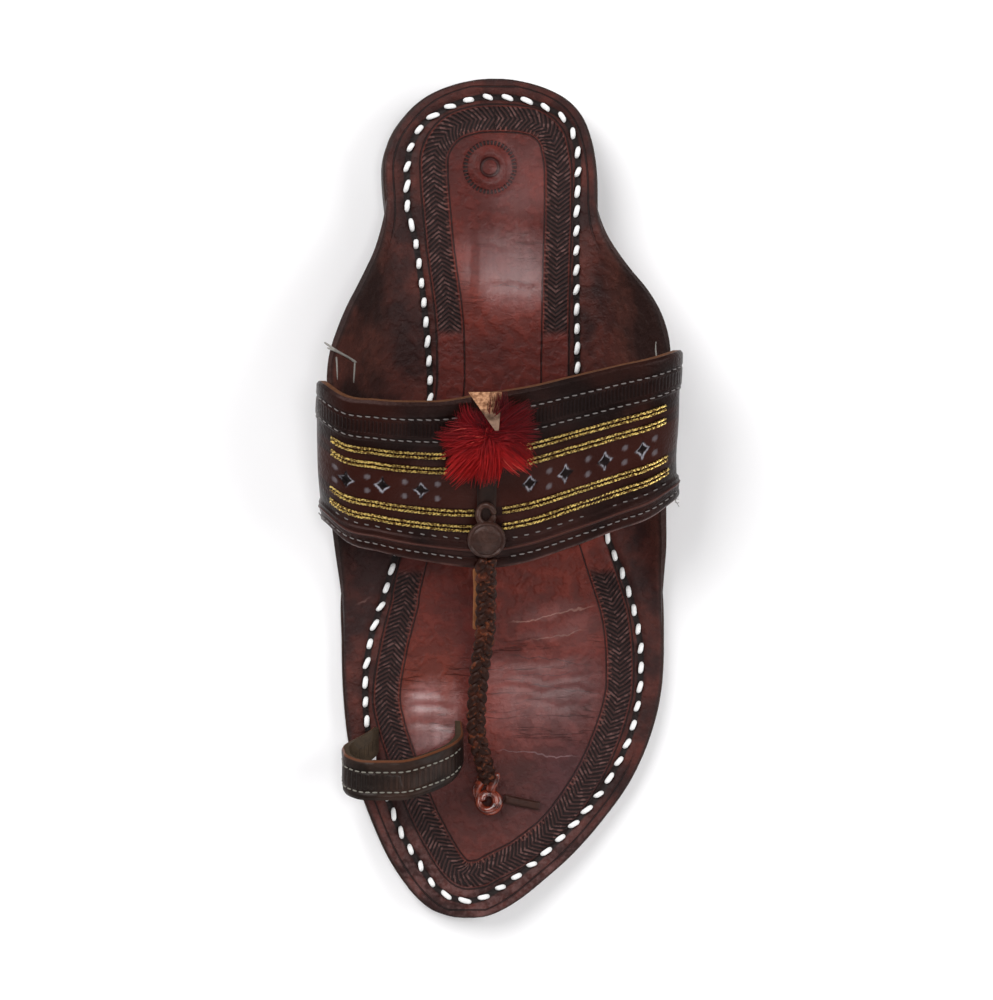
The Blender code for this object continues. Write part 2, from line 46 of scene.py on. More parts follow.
# The sole, with the same sizes as the part's own.
soleForm = {
    "length": 0.280,
    "ballWidth": 0.1086,
    "outsole": 0.005,
    "topSole": 0.0024,
    "topSoleMargin": 0.0008,
    "lifts": 3,
    "lift": 0.0038,
    "toeSpring": 0.005,
    "springEnd": 0.161,  # the share of the length at which the toe starts to rise
    "slope": (0.457, 0.782),  # the shares of the length between which the heel rises
}
soleRows = (
    # share of the length from the toe, left and right edges as shares of the ball's width
    (0.000, -0.098, -0.052), (0.002, -0.140, -0.012), (0.007, -0.180, 0.024), (0.021, -0.230, 0.087),
    (0.043, -0.278, 0.160), (0.071, -0.324, 0.244), (0.111, -0.371, 0.338), (0.157, -0.414, 0.425),
    (0.207, -0.445, 0.486), (0.264, -0.461, 0.525), (0.325, -0.466, 0.535), (0.400, -0.464, 0.529),
    (0.464, -0.419, 0.502), (0.518, -0.355, 0.456), (0.571, -0.300, 0.391), (0.632, -0.272, 0.339),
    (0.696, -0.274, 0.319), (0.750, -0.290, 0.315), (0.800, -0.313, 0.315), (0.846, -0.334, 0.319),
    (0.893, -0.343, 0.316), (0.929, -0.322, 0.300), (0.957, -0.274, 0.271), (0.979, -0.210, 0.216),
    (0.993, -0.129, 0.134), (0.998, -0.072, 0.078), (1.000, -0.025, 0.031),
)
# The wings, or ears, which rise from the top sole to the band.
wingForm = {
    "height": 0.029,
    "bend": 0.55,  # how far out the curve's middle point is
    "start": 0.85,  # the share of the half width at which the wing leaves the flat sole
}
earRows = (
    # share of the length, left and right reach, left and right rise as shares of the height
    (0.325, -0.459, 0.528, 0.000, 0.000), (0.364, -0.460, 0.525, 0.028, 0.028),
    (0.400, -0.466, 0.524, 0.103, 0.086), (0.439, -0.479, 0.525, 0.276, 0.224),
    (0.479, -0.492, 0.518, 0.534, 0.448), (0.518, -0.503, 0.510, 0.759, 0.707),
    (0.571, -0.507, 0.508, 0.931, 0.914), (0.632, -0.507, 0.508, 1.000, 1.000),
    (0.671, -0.499, 0.508, 0.931, 0.983), (0.696, -0.479, 0.501, 0.828, 0.897),
    (0.729, -0.444, 0.473, 0.655, 0.724), (0.750, -0.416, 0.442, 0.534, 0.586),
    (0.771, -0.389, 0.402, 0.414, 0.431), (0.793, -0.363, 0.365, 0.276, 0.276),
    (0.814, -0.346, 0.337, 0.145, 0.138), (0.836, -0.335, 0.320, 0.048, 0.041),
    (0.857, -0.331, 0.311, 0.000, 0.000),
)
heelSeat = soleForm["lifts"] * (soleForm["lift"] + gap)
middleX = -0.042 * soleForm["ballWidth"]  # the line of the tab, the pompom and the button


def follow(rows, column, at):
    # A smooth curve through one column of a table, which doesn't swing past the values.
    stations = np.array([row[0] for row in rows])
    values = np.array([row[column] for row in rows])
    steps = np.diff(stations)
    slopes = np.diff(values) / steps
    weighted = (slopes[:-1] * steps[1:] + slopes[1:] * steps[:-1]) / (steps[:-1] + steps[1:])
    inner = np.where(slopes[:-1] * slopes[1:] > 0, weighted, 0.0)
    tangents = np.concatenate([slopes[:1], inner, slopes[-1:]])
    at = np.clip(at, stations[0], stations[-1])
    cell = np.clip(np.searchsorted(stations, at, side="right") - 1, 0, len(steps) - 1)
    step = steps[cell]
    part = (at - stations[cell]) / step
    rest = 1 - part
    start = (1 + 2 * part) * rest**2 * values[cell] + part * rest**2 * step * tangents[cell]
    end = part**2 * (3 - 2 * part) * values[cell + 1] - part**2 * rest * step * tangents[cell + 1]
    return start + end


def followSide(rows, side, left, right, at):
    return np.where(side < 0, follow(rows, left, at), follow(rows, right, at))


def smoothStep(value, low=0.0, high=1.0):
    # Nothing below low, one above high and a smooth rise between them.
    value = np.clip((value - low) / (high - low), 0, 1)
    return value * value * (3 - 2 * value)


def bell(value, width):
    # One at zero, falling to about a third one width away.
    return np.exp(-((value / width) ** 2))


def unit(vectors):
    return vectors / np.linalg.norm(vectors, axis=-1, keepdims=True)


def grid(x, y, z):
    # Points from three arrays or numbers that are spread to one shape.
    return np.stack(np.broadcast_arrays(x, y, z), axis=-1)


def travelled(path):
    # The distance along a path at each of its points.
    return np.concatenate([[0], np.cumsum(np.linalg.norm(np.diff(path, axis=0), axis=1))])


def placeY(along):
    # The y of a share of the sole's length.
    return (np.asarray(along) - 0.5) * soleForm["length"]


def shareAlong(y):
    return np.asarray(y) / soleForm["length"] + 0.5


def underside(y):
    # The lower face: the toe rises with the square of its distance, the heel by a smooth step.
    along = shareAlong(y)
    spring = np.clip((soleForm["springEnd"] - along) / soleForm["springEnd"], 0, 1) ** 2
    return soleForm["toeSpring"] * spring + heelSeat * smoothStep(along, *soleForm["slope"])


def topSoleMiddle(y):
    return underside(y) + soleForm["outsole"] + gap + soleForm["topSole"] / 2


def topSoleSurface(y):
    return topSoleMiddle(y) + soleForm["topSole"] / 2


def roundEnds(along):
    # Shares of the length as angles, so that a curve through the rows ends round.
    return np.arccos(1 - 2 * np.clip(along, 0, 1))


soleTurns = [(float(roundEnds(along)), left, right) for along, left, right in soleRows]


def soleEdge(y, side):
    # The x of the sole's outline, -1 on the left side and 1 on the right.
    return followSide(soleTurns, side, 1, 2, roundEnds(shareAlong(y))) * soleForm["ballWidth"]


def innerEdge(y, side):
    return soleEdge(y, side) - side * soleForm["topSoleMargin"]


def wingShape(y, side):
    # Where the wing leaves the flat sole, where its edge is, and how high that edge stands.
    along = shareAlong(y)
    inside = (along > earRows[0][0]) & (along < earRows[-1][0])
    reach = followSide(earRows, side, 1, 2, along) * soleForm["ballWidth"]
    rise = followSide(earRows, side, 3, 4, along) * wingForm["height"]
    middle = (soleEdge(y, -1) + soleEdge(y, 1)) / 2
    start = middle + (innerEdge(y, side) - middle) * wingForm["start"]
    return start, np.where(inside, reach, innerEdge(y, side)), np.where(inside, rise, 0.0)


def earSection(y, side, part, outward=0.0):
    # A quadratic curve from the flat sole (part 0) to the wing's edge (part 1).
    start, end, rise = wingShape(y, side)
    bend = start + (end - start) * wingForm["bend"]
    x = (1 - part) ** 2 * start + 2 * part * (1 - part) * bend + part**2 * end
    z = topSoleMiddle(y) + part**2 * rise
    alongX = (1 - part) * (bend - start) + part * (end - bend)
    alongZ = part * rise
    length = np.hypot(alongX, alongZ)
    return x + outward * side * alongZ / length, z - outward * side * alongX / length


def soleTop(x, y):
    # Height of the top sole's upper face at any point, wings included.
    side = np.where(np.asarray(x) < (soleEdge(y, -1) + soleEdge(y, 1)) / 2, -1, 1)
    start, end, rise = wingShape(y, side)
    share = np.clip((x - start) / (end - start), 0, 1)
    bend = 2 * wingForm["bend"]
    part = (bend - np.sqrt(bend**2 - 4 * (bend - 1) * share)) / (2 * (bend - 1))
    return topSoleSurface(y) + part**2 * rise


def ripple(points, size, seed):
    # A soft random swell between about -1 and 1: seven waves, each about size long.
    chance = np.random.default_rng(seed)
    total = 0
    for _ in range(7):
        direction = chance.normal(size=3)
        direction *= 2 * math.pi / size / np.linalg.norm(direction) * chance.uniform(0.7, 1.4)
        total = total + np.cos(points @ direction + chance.uniform(0, 2 * math.pi))
    return total / 3.5


def between(travel, values, at):
    # Values at a path's points, read at other distances along it.
    return np.stack([np.interp(at, travel, column) for column in values.T], axis=-1)


def evenPath(points, count, closed=False):
    # The same path with its points evenly spaced, and its length.
    if closed:
        points = np.concatenate([points, points[:1]])
    travel = travelled(points)
    at = np.linspace(0, travel[-1], count, endpoint=not closed)
    return between(travel, points, at), travel[-1]


def smoothPath(rows, count, closed=False):
    # A smooth path through listed points.
    rows = list(rows)
    if closed:
        rows = rows[-3:] + rows + rows[:3]
    numbered = [(number, *row) for number, row in enumerate(rows)]
    first, last = (3, len(rows) - 3) if closed else (0, len(rows) - 1)
    at = np.linspace(first, last, 12 * len(rows))
    columns = [follow(numbered, column, at) for column in range(1, len(rows[0]) + 1)]
    path = np.stack(columns, axis=-1)
    if closed:
        path = path[:-1]
    return evenPath(path, count, closed)


def trace(x, y, path, length):
    # Distance along a closed flat path and distance from it, positive outside the loop.
    after = np.roll(path, -1, axis=0)
    ahead = after - path
    size = np.linalg.norm(ahead, axis=1)
    best = np.full(x.shape, 1e9)
    along = np.zeros(x.shape)
    across = np.zeros(x.shape)
    for number in range(len(path)):
        fromX = x - path[number, 0]
        fromY = y - path[number, 1]
        dirX, dirY = ahead[number] / size[number]
        travel = np.clip(fromX * dirX + fromY * dirY, 0, size[number])
        distance = np.hypot(fromX - travel * dirX, fromY - travel * dirY)
        nearer = distance < best
        best = np.where(nearer, distance, best)
        along = np.where(nearer, number / len(path) * length + travel, along)
        across = np.where(nearer, np.copysign(distance, dirX * fromY - dirY * fromX), across)
    return along, across


def slab(upper, lower):
    # A closed sheet between two grids of points: rows run to the heel, columns to the right.
    rows, columns, _ = upper.shape
    count = rows * columns
    index = np.arange(count).reshape(rows, columns)
    quads = np.stack([index[:-1, :-1], index[:-1, 1:], index[1:, 1:], index[1:, :-1]], axis=-1)
    quads = quads.reshape(-1, 4)
    edge = np.concatenate([index[0, :-1], index[:-1, -1], index[-1, :0:-1], index[:0:-1, 0]])
    beside = np.roll(edge, -1)
    rim = np.stack([edge, edge + count, beside + count, beside], axis=-1)
    points = np.concatenate([upper.reshape(-1, 3), lower.reshape(-1, 3)])
    return points, np.concatenate([quads, quads[:, ::-1] + count, rim]).tolist()


def faceMarks(upper, lower=None):
    # Three values at each point of a slab's upper and lower face.
    values = [grid(*face).reshape(-1, 3) for face in (upper, lower or upper)]
    return np.concatenate(values)


def tubes(rings):
    # Closed tubes: rings has the shape tubes, rings, points around, xyz.
    count, length, around, _ = rings.shape
    index = np.arange(count * length * around).reshape(count, length, around)
    beside = np.roll(index, -1, axis=2)
    quads = np.stack([index[:, :-1], index[:, 1:], beside[:, 1:], beside[:, :-1]], axis=-1)
    faces = quads.reshape(-1, 4).tolist() + index[:, 0].tolist() + index[:, -1, ::-1].tolist()
    return rings.reshape(-1, 3), faces


def circle(around):
    # Evenly spaced angles once round.
    return np.arange(around) / around * 2 * math.pi


def pathAxes(path, up=(0.0, 0.0, 1.0)):
    # Directions to the side and up at every point of a path.
    ahead = unit(np.gradient(path, axis=0))
    side = unit(np.cross(ahead, up))
    return side, np.cross(side, ahead)


def strand(path, wide, tall, around, up=(0.0, 0.0, 1.0)):
    # An oval tube along a path: wide and tall are half sizes, and its ends draw in.
    side, high = pathAxes(path, up)
    turn = circle(around)
    draw = np.ones(len(path))
    draw[[0, -1]] = 0.45
    draw[[1, -2]] = 0.85
    wide = (np.broadcast_to(wide, len(path)) * draw)[:, None, None]
    tall = (np.broadcast_to(tall, len(path)) * draw)[:, None, None]
    across = side[:, None, :] * np.cos(turn)[None, :, None] * wide
    rings = path[:, None, :] + across + high[:, None, :] * np.sin(turn)[None, :, None] * tall
    return tubes(rings[None])


def lathe(profile, around, move):
    # A turned body: profile rows are radius and height, and move places the points.
    turn = circle(around)
    radius, high = np.array(profile).T[:, :, None]
    points, faces = tubes(grid(radius * np.cos(turn), -radius * np.sin(turn), high)[None])
    return move(points), faces


def dashes(path, up, thread):
    # Short threads laid end to end along a path: each is a flat bead that dips at its ends.
    # lean is how far a bead's end may sit to one side, with a few beads longer than others.
    travel = travelled(path)
    count = max(int(travel[-1] / thread["pitch"]), 1)
    middle = (np.arange(count) + 0.5) * travel[-1] / count
    part = np.array([-0.5, -0.44, -0.28, 0.0, 0.28, 0.44, 0.5])
    swell = np.array([0.30, 0.66, 0.95, 1.0, 0.95, 0.66, 0.30])[None, :, None, None]
    chance = np.random.default_rng(count)
    stretch = 1 + chance.uniform(-3, 2, count)[:, None] * min(thread["lean"] * 100, 0.08)
    at = middle[:, None] + part * thread["length"] * stretch
    place, beside, above = (between(travel, values, at) for values in (path, *pathAxes(path, up)))
    turn = circle(thread["around"])
    across = beside[:, :, None] * np.cos(turn)[None, None, :, None] * thread["wide"]
    raised = above[:, :, None] * np.sin(turn)[None, None, :, None] * thread["tall"]
    bow = above * (thread["lift"] * (1 - (2 * part) ** 4))[None, :, None]
    slant = chance.uniform(0.2, 1.0, count)[:, None] * 2 * part
    bow = bow + beside * (slant * thread["lean"])[..., None]
    return tubes((place + bow)[:, :, None] + (across + raised) * swell)


def joined(shapes):
    # Several shapes as one.
    points = []
    faces = []
    start = 0
    for found, sides in shapes:
        points.append(found)
        faces += [[corner + start for corner in face] for face in sides]
        start += len(found)
    return np.concatenate(points), faces


def placed(name, data):
    # A mesh, light or camera in the scene.
    made = bpy.data.objects.new(name, data)
    bpy.context.scene.collection.objects.link(made)
    return made


def addPiece(name, shape, material, slot, *stands, marks=None):
    # Puts a shape into the scene; stands names the node of the part that it stands for.
    points, faces = shape
    mesh = bpy.data.meshes.new(name)
    mesh.from_pydata(points.tolist(), [], faces)
    for key, values in (marks or {}).items():
        mark = mesh.attributes.new(key, "FLOAT_VECTOR", "POINT")
        mark.data.foreach_set("vector", np.asarray(values, np.float32).ravel())
    mesh.materials.append(material)
    mesh.shade_smooth()
    mesh.set_sharp_from_angle(angle=math.radians(40))
    made = placed(name, mesh)
    if stands:
        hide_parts(*stands)
    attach(made, "root")


def colour(red, green, blue):
    # A tone as the light it gives back.
    values = np.array([red, green, blue]) / 255
    light = np.where(values <= 0.04045, values / 12.92, ((values + 0.055) / 1.055) ** 2.4)
    return (*light.tolist(), 1.0)


class Signal:
    # A shader value that can be written into sums.
    def __init__(self, graph, socket):
        self.graph = graph
        self.socket = socket

    def __add__(self, other):
        return self.graph.math("ADD", self, other)

    def __radd__(self, other):
        return self.graph.math("ADD", other, self)

    def __sub__(self, other):
        return self.graph.math("SUBTRACT", self, other)

    def __rsub__(self, other):
        return self.graph.math("SUBTRACT", other, self)

    def __mul__(self, other):
        return self.graph.math("MULTIPLY", self, other)

    def __rmul__(self, other):
        return self.graph.math("MULTIPLY", other, self)

    def __truediv__(self, other):
        return self.graph.math("DIVIDE", self, other)

    def __rtruediv__(self, other):
        return self.graph.math("DIVIDE", other, self)


class Graph:
    # The shader of one material, or of the world, built from short calls.
    def __init__(self, name, kind="materials", shader="Principled BSDF", place="Object"):
        self.holder = getattr(bpy.data, kind).new(name)
        self.holder.use_nodes = True
        self.tree = self.holder.node_tree
        self.shader = self.tree.nodes[shader]
        self.place = self.read("ShaderNodeTexCoord", {}, {}, place)

    def node(self, kind, settings, sockets):
        made = self.tree.nodes.new(kind)
        for key, value in settings.items():
            setattr(made, key, value)
        for key, value in sockets.items():
            self.feed(made.inputs[key], value)
        return made

    def feed(self, socket, value):
        # Links a signal, or sets a number, a vector or a tone.
        if isinstance(value, Signal):
            self.tree.links.new(value.socket, socket)
        elif socket.type == "RGBA" and len(value) == 3:
            socket.default_value = colour(*value)
        else:
            socket.default_value = value

    def read(self, kind, settings, sockets, output=0):
        return Signal(self, self.node(kind, settings, sockets).outputs[output])

    def math(self, operation, first, second=0.0):
        return self.read("ShaderNodeMath", {"operation": operation}, {0: first, 1: second})

    def split(self, vector):
        made = self.node("ShaderNodeSeparateXYZ", {}, {0: vector})
        return [Signal(self, output) for output in made.outputs]

    def axes(self, name):
        return self.split(self.read("ShaderNodeAttribute", {"attribute_name": name}, {}, "Vector"))

    def position(self):
        return self.split(self.place)

    def noise(self, scale, detail=3.0, stretch=None):
        vector = self.place
        if stretch:
            vector = self.read("ShaderNodeMapping", {}, {"Vector": vector, "Scale": stretch})
        return self.read("ShaderNodeTexNoise", {}, {"Vector": vector, "Scale": scale, "Detail": detail})

    def cells(self, scale):
        return self.read("ShaderNodeTexVoronoi", {}, {"Vector": self.place, "Scale": scale})

    def size(self, value):
        return self.math("ABSOLUTE", value)

    def mask(self, value, low, high):
        # Nothing at low, one at high and a smooth rise between them.
        settings = {"interpolation_type": "SMOOTHSTEP"}
        return self.read("ShaderNodeMapRange", settings, {0: value, 1: low, 2: high})

    def patches(self, scale, detail, low, high):
        return self.mask(self.noise(scale, detail), low, high)

    def near(self, value, middle, outer, inner):
        # One within inner of a middle, falling to nothing at outer.
        return self.mask(self.size(value - middle), outer, inner)

    def stripes(self, value, pitch, low, high):
        # Stripes across a value, one to each pitch.
        return self.near(self.math("FRACT", value / pitch), 0.5, low, high)

    def wrinkles(self, stretch, width):
        # Thin lines where a stretched noise crosses its middle value.
        return self.near(self.noise(1.0, 3.0, stretch), 0.5, width, 0.0)

    def line(self, x, y, start, end):
        # A thin uneven line between two points, which are in millimetres.
        run, rise = end[0] - start[0], end[1] - start[1]
        length = math.hypot(run, rise)
        fromX = x * 1000.0 - start[0]
        fromY = y * 1000.0 - start[1]
        along = (fromX * run + fromY * rise) / length
        across = (fromY * run - fromX * rise) / length + (self.noise(170.0, 3.0) - 0.5) * 4.5
        ends = self.near(along, length / 2, length / 2, length / 2 - 6)
        return self.mask(self.size(across), 0.34, 0.08) * ends

    def blend(self, factor, first, second):
        sockets = {0: factor, 6: first, 7: second}
        return self.read("ShaderNodeMix", {"data_type": "RGBA"}, sockets, 2)

    def bump(self, height, distance, before=None):
        sockets = {"Height": height, "Distance": distance, "Strength": 1.0}
        if before:
            sockets["Normal"] = before
        return self.read("ShaderNodeBump", {}, sockets)

    def finish(self, **sockets):
        for key, value in sockets.items():
            self.feed(self.shader.inputs[key.replace("_", " ")], value)
        return self.holder


def plainLeather(name, dark, light, roughness, grain=900.0, depth=0.00012, coat=0.1):
    # Aged leather: two tones in patches, fine grain and slight creasing.
    graph = Graph(name)
    specks = graph.noise(420.0, 4.0)
    share = graph.mask(graph.noise(40.0, 5.0) * 0.7 + specks * 0.3, 0.36, 0.64)
    height = graph.cells(grain) * 0.6 + graph.noise(300.0, 4.0) * 1.2
    return graph.finish(
        Base_Color=graph.blend(share, dark, light),
        Roughness=roughness + (specks - 0.5) * 0.3,
        Specular_IOR_Level=0.18,
        Specular_Tint=(1.0, 0.72, 0.64, 1.0),
        Coat_Weight=coat * 0.6,
        Coat_Roughness=0.3,
        Normal=graph.bump(height, depth),
    )


def threadLook(name, tone, roughness, scale=900.0, depth=0.00008):
    # Spun thread: one colour with darker specks.
    graph = Graph(name)
    specks = graph.noise(scale, 3.0)
    light = colour(*tone)
    shade = (*(value * 0.72 for value in light[:3]), 1.0)
    return graph.finish(
        Base_Color=graph.blend(specks, shade, light),
        Roughness=roughness,
        Normal=graph.bump(specks, depth),
    )


# The top sole's stitches, stamping, creases and wear, all in millimetres.
stitchRows = (
    # x and y of a loop, from the heel round the right side
    (1, 133.8), (11.8, 132.4), (22.9, 127), (27.2, 118), (27.7, 108), (27.2, 92), (27.2, 75),
    (27.6, 55), (28.2, 38), (30.5, 20), (35, 0), (39.5, -15), (44.5, -27), (48.5, -41),
    (50, -53), (49.4, -65), (46.8, -78), (41.5, -90), (34, -101.5), (24, -112.5), (13, -122.5),
    (4, -129), (-4, -133.5), (-9, -134.3), (-15, -132.8), (-20, -129), (-25, -121.5),
    (-30.6, -112), (-35, -101), (-39.5, -89), (-42.2, -75), (-42.8, -62), (-41, -47),
    (-37, -34), (-33.1, -20.5), (-28, -2), (-23.5, 18), (-21.3, 37), (-22.1, 50), (-23.5, 65),
    (-26.2, 85), (-29.2, 99), (-29.2, 109), (-27.5, 118.5), (-23, 125.5), (-15, 130.6), (-6, 133.5),
)
borderRows = (
    # x and y of the stamped border's middle, the same way round
    (0, 126.8), (7.5, 126.6), (14, 125.2), (18.7, 121), (20.4, 115.5), (21.2, 108), (21.2, 95),
    (20.7, 80), (20.4, 65), (20.4, 57), (20.4, 40), (27, 8), (36.8, -24), (41, -37.6),
    (42.6, -49), (42.9, -60.3), (41.4, -70.4), (36.8, -83.5), (31, -95.2), (21.4, -108.6),
    (10, -118), (-0.5, -123.5), (-5, -125.6), (-10, -125.5), (-14.3, -121.5), (-19.4, -113),
    (-24.8, -102), (-32.1, -82), (-34.6, -73.5), (-35.7, -65.7), (-33.2, -49.4), (-29.6, -35),
    (-28.5, -28), (-20, 8), (-14.4, 40), (-14.8, 56), (-15.6, 65), (-17, 75), (-18.2, 84),
    (-19.2, 95), (-20, 104), (-20.3, 112), (-18.5, 118.5), (-14, 123.5), (-7, 126.2),
)
creaseRows = (
    # start x, start y, end x, end y, half width, depth that the leather sinks
    (-3.0, 70.0, 16.0, 71.5, 0.9, 0.35), (-4.0, 85.5, 4.5, 83.0, 0.8, 0.30),
    (6.5, 87.0, 15.0, 84.5, 0.8, 0.22), (5.0, -43.5, 36.0, -34.5, 1.6, -0.45),
    (6.0, -49.0, 30.0, -45.0, 1.2, -0.30), (3.0, -56.0, 38.0, -52.0, 0.9, 0.30),
    (4.0, -60.0, 34.0, -60.5, 0.9, 0.32), (2.0, -63.5, 39.0, -64.5, 1.1, 0.40),
    (8.0, -67.5, 34.0, -70.0, 1.0, 0.28), (-28.0, -70.5, -12.0, -69.0, 0.9, 0.40),
    (-30.0, -66.0, -14.0, -64.5, 0.9, 0.25), (-29.0, -76.0, -13.0, -75.0, 1.0, 0.28),
    (0.0, -84.0, 34.0, -88.0, 2.2, -0.35),
)
markRows = (
    # start, end and tone of a thin mark
    ((4.3, -42.3), (35.2, -35.1), (158, 112, 100)),
    ((12.0, -47.5), (33.0, -44.0), (136, 92, 82)),
    ((-46.5, -36.5), (-40.5, -32.0), (132, 96, 90)),
    ((-30.1, -69.0), (-16.0, -70.2), (30, 12, 12)),
    ((-26.0, -66.0), (-14.5, -63.5), (48, 20, 18)),
    ((3.0, -52.0), (36.0, -56.0), (62, 30, 28)),
    ((6.0, -59.5), (30.0, -58.0), (58, 27, 26)),
    ((10.0, -62.0), (38.0, -65.5), (44, 20, 20)),
    ((-3.6, 71.4), (12.5, 69.6), (48, 24, 24)),
    ((4.0, 73.4), (13.0, 71.8), (66, 36, 36)),
    ((-4.0, 85.6), (3.0, 83.6), (58, 30, 30)),
    ((0.0, -84.0), (30.0, -87.0), (120, 92, 94)),
)
glossAndSheenRows = (
    # x, y, half width, half length and strength of a glossy place, whose tone also gets painted sheen
    (3.0, 77.0, 17.5, 14.0, 0.38),
    (7.0, 71.0, 11.0, 13.0, 0.26),
    (9.0, 108.0, 13.0, 15.0, 0.20),
    (-20.0, -75.0, 11.0, 14.0, 0.75),
    (-23.0, -67.5, 5.5, 4.5, 0.55),
    (-17.5, -79.0, 6.0, 4.0, 0.40),
    (16.0, -66.0, 21.0, 15.0, 0.36),
    (22.0, -42.0, 17.0, 9.0, 0.14),
)
stampForm = {"x": -1.6, "y": 110.5, "ticks": 42, "tickRadius": 8.2, "domeRadius": 5.0, "dimple": 2.9}
soleLeather = {
    "bed": ((82, 27, 21), (114, 43, 32)),  # the footbed at the heel, dark and light
    "forefoot": ((72, 34, 33), (104, 52, 48)),
    "margin": ((40, 16, 14), (80, 36, 29)),
    "wing": ((38, 19, 15), (80, 42, 34)),
    "stamping": ((22, 12, 12), (60, 37, 35)),  # its hollows and its ridges
    "stain": (60, 26, 24),
    "warm": (132, 56, 36),
    # painted shade toward the toe
    "toe": (56, 30, 28),
    # painted shade under and behind the band
    "waist": (62, 24, 23),
    "bruise": (60, 34, 38),
    # painted highlight on the toe's margins
    "toeMarginHighlight": (116, 86, 84),
    "wrinkle": (42, 18, 16),
    # pale flecks on the border's ridges: partly rubbed leather, partly painted highlight
    "fleck": (118, 84, 80),
    "tooth": (134, 82, 74),
    "groove": (20, 11, 10),
    "trough": (20, 12, 11),
    "scored": (18, 11, 10),
    "rim": (34, 24, 22),
    "stamp": (30, 14, 13),
    "mottle": (30, 13, 12),
    "speck": (40, 19, 17),
    # the pale mauve of the shining places: painted sheen
    "glossAndSheen": (158, 92, 92),
    "roughness": 0.46,
    "specular": 0.20,
}


def creased(x, y):
    # How far the creases lift or sink the leather: bells across wavy lines, faded at their ends.
    height = 0
    for startX, startY, endX, endY, width, depth in creaseRows:
        alongX, alongY = endX - startX, endY - startY
        length = math.hypot(alongX, alongY)
        travel = ((x - startX) * alongX + (y - startY) * alongY) / length
        across = ((x - startX) * alongY - (y - startY) * alongX) / length
        across = across + 0.9 * np.sin(travel / 3.1) + 0.4 * np.sin(travel / 1.3)
        ends = smoothStep(travel, -2, 4) * smoothStep(length - travel, -2, 4)
        height = height - 0.42 * depth * ends * bell(across, width * 0.8)
    return height


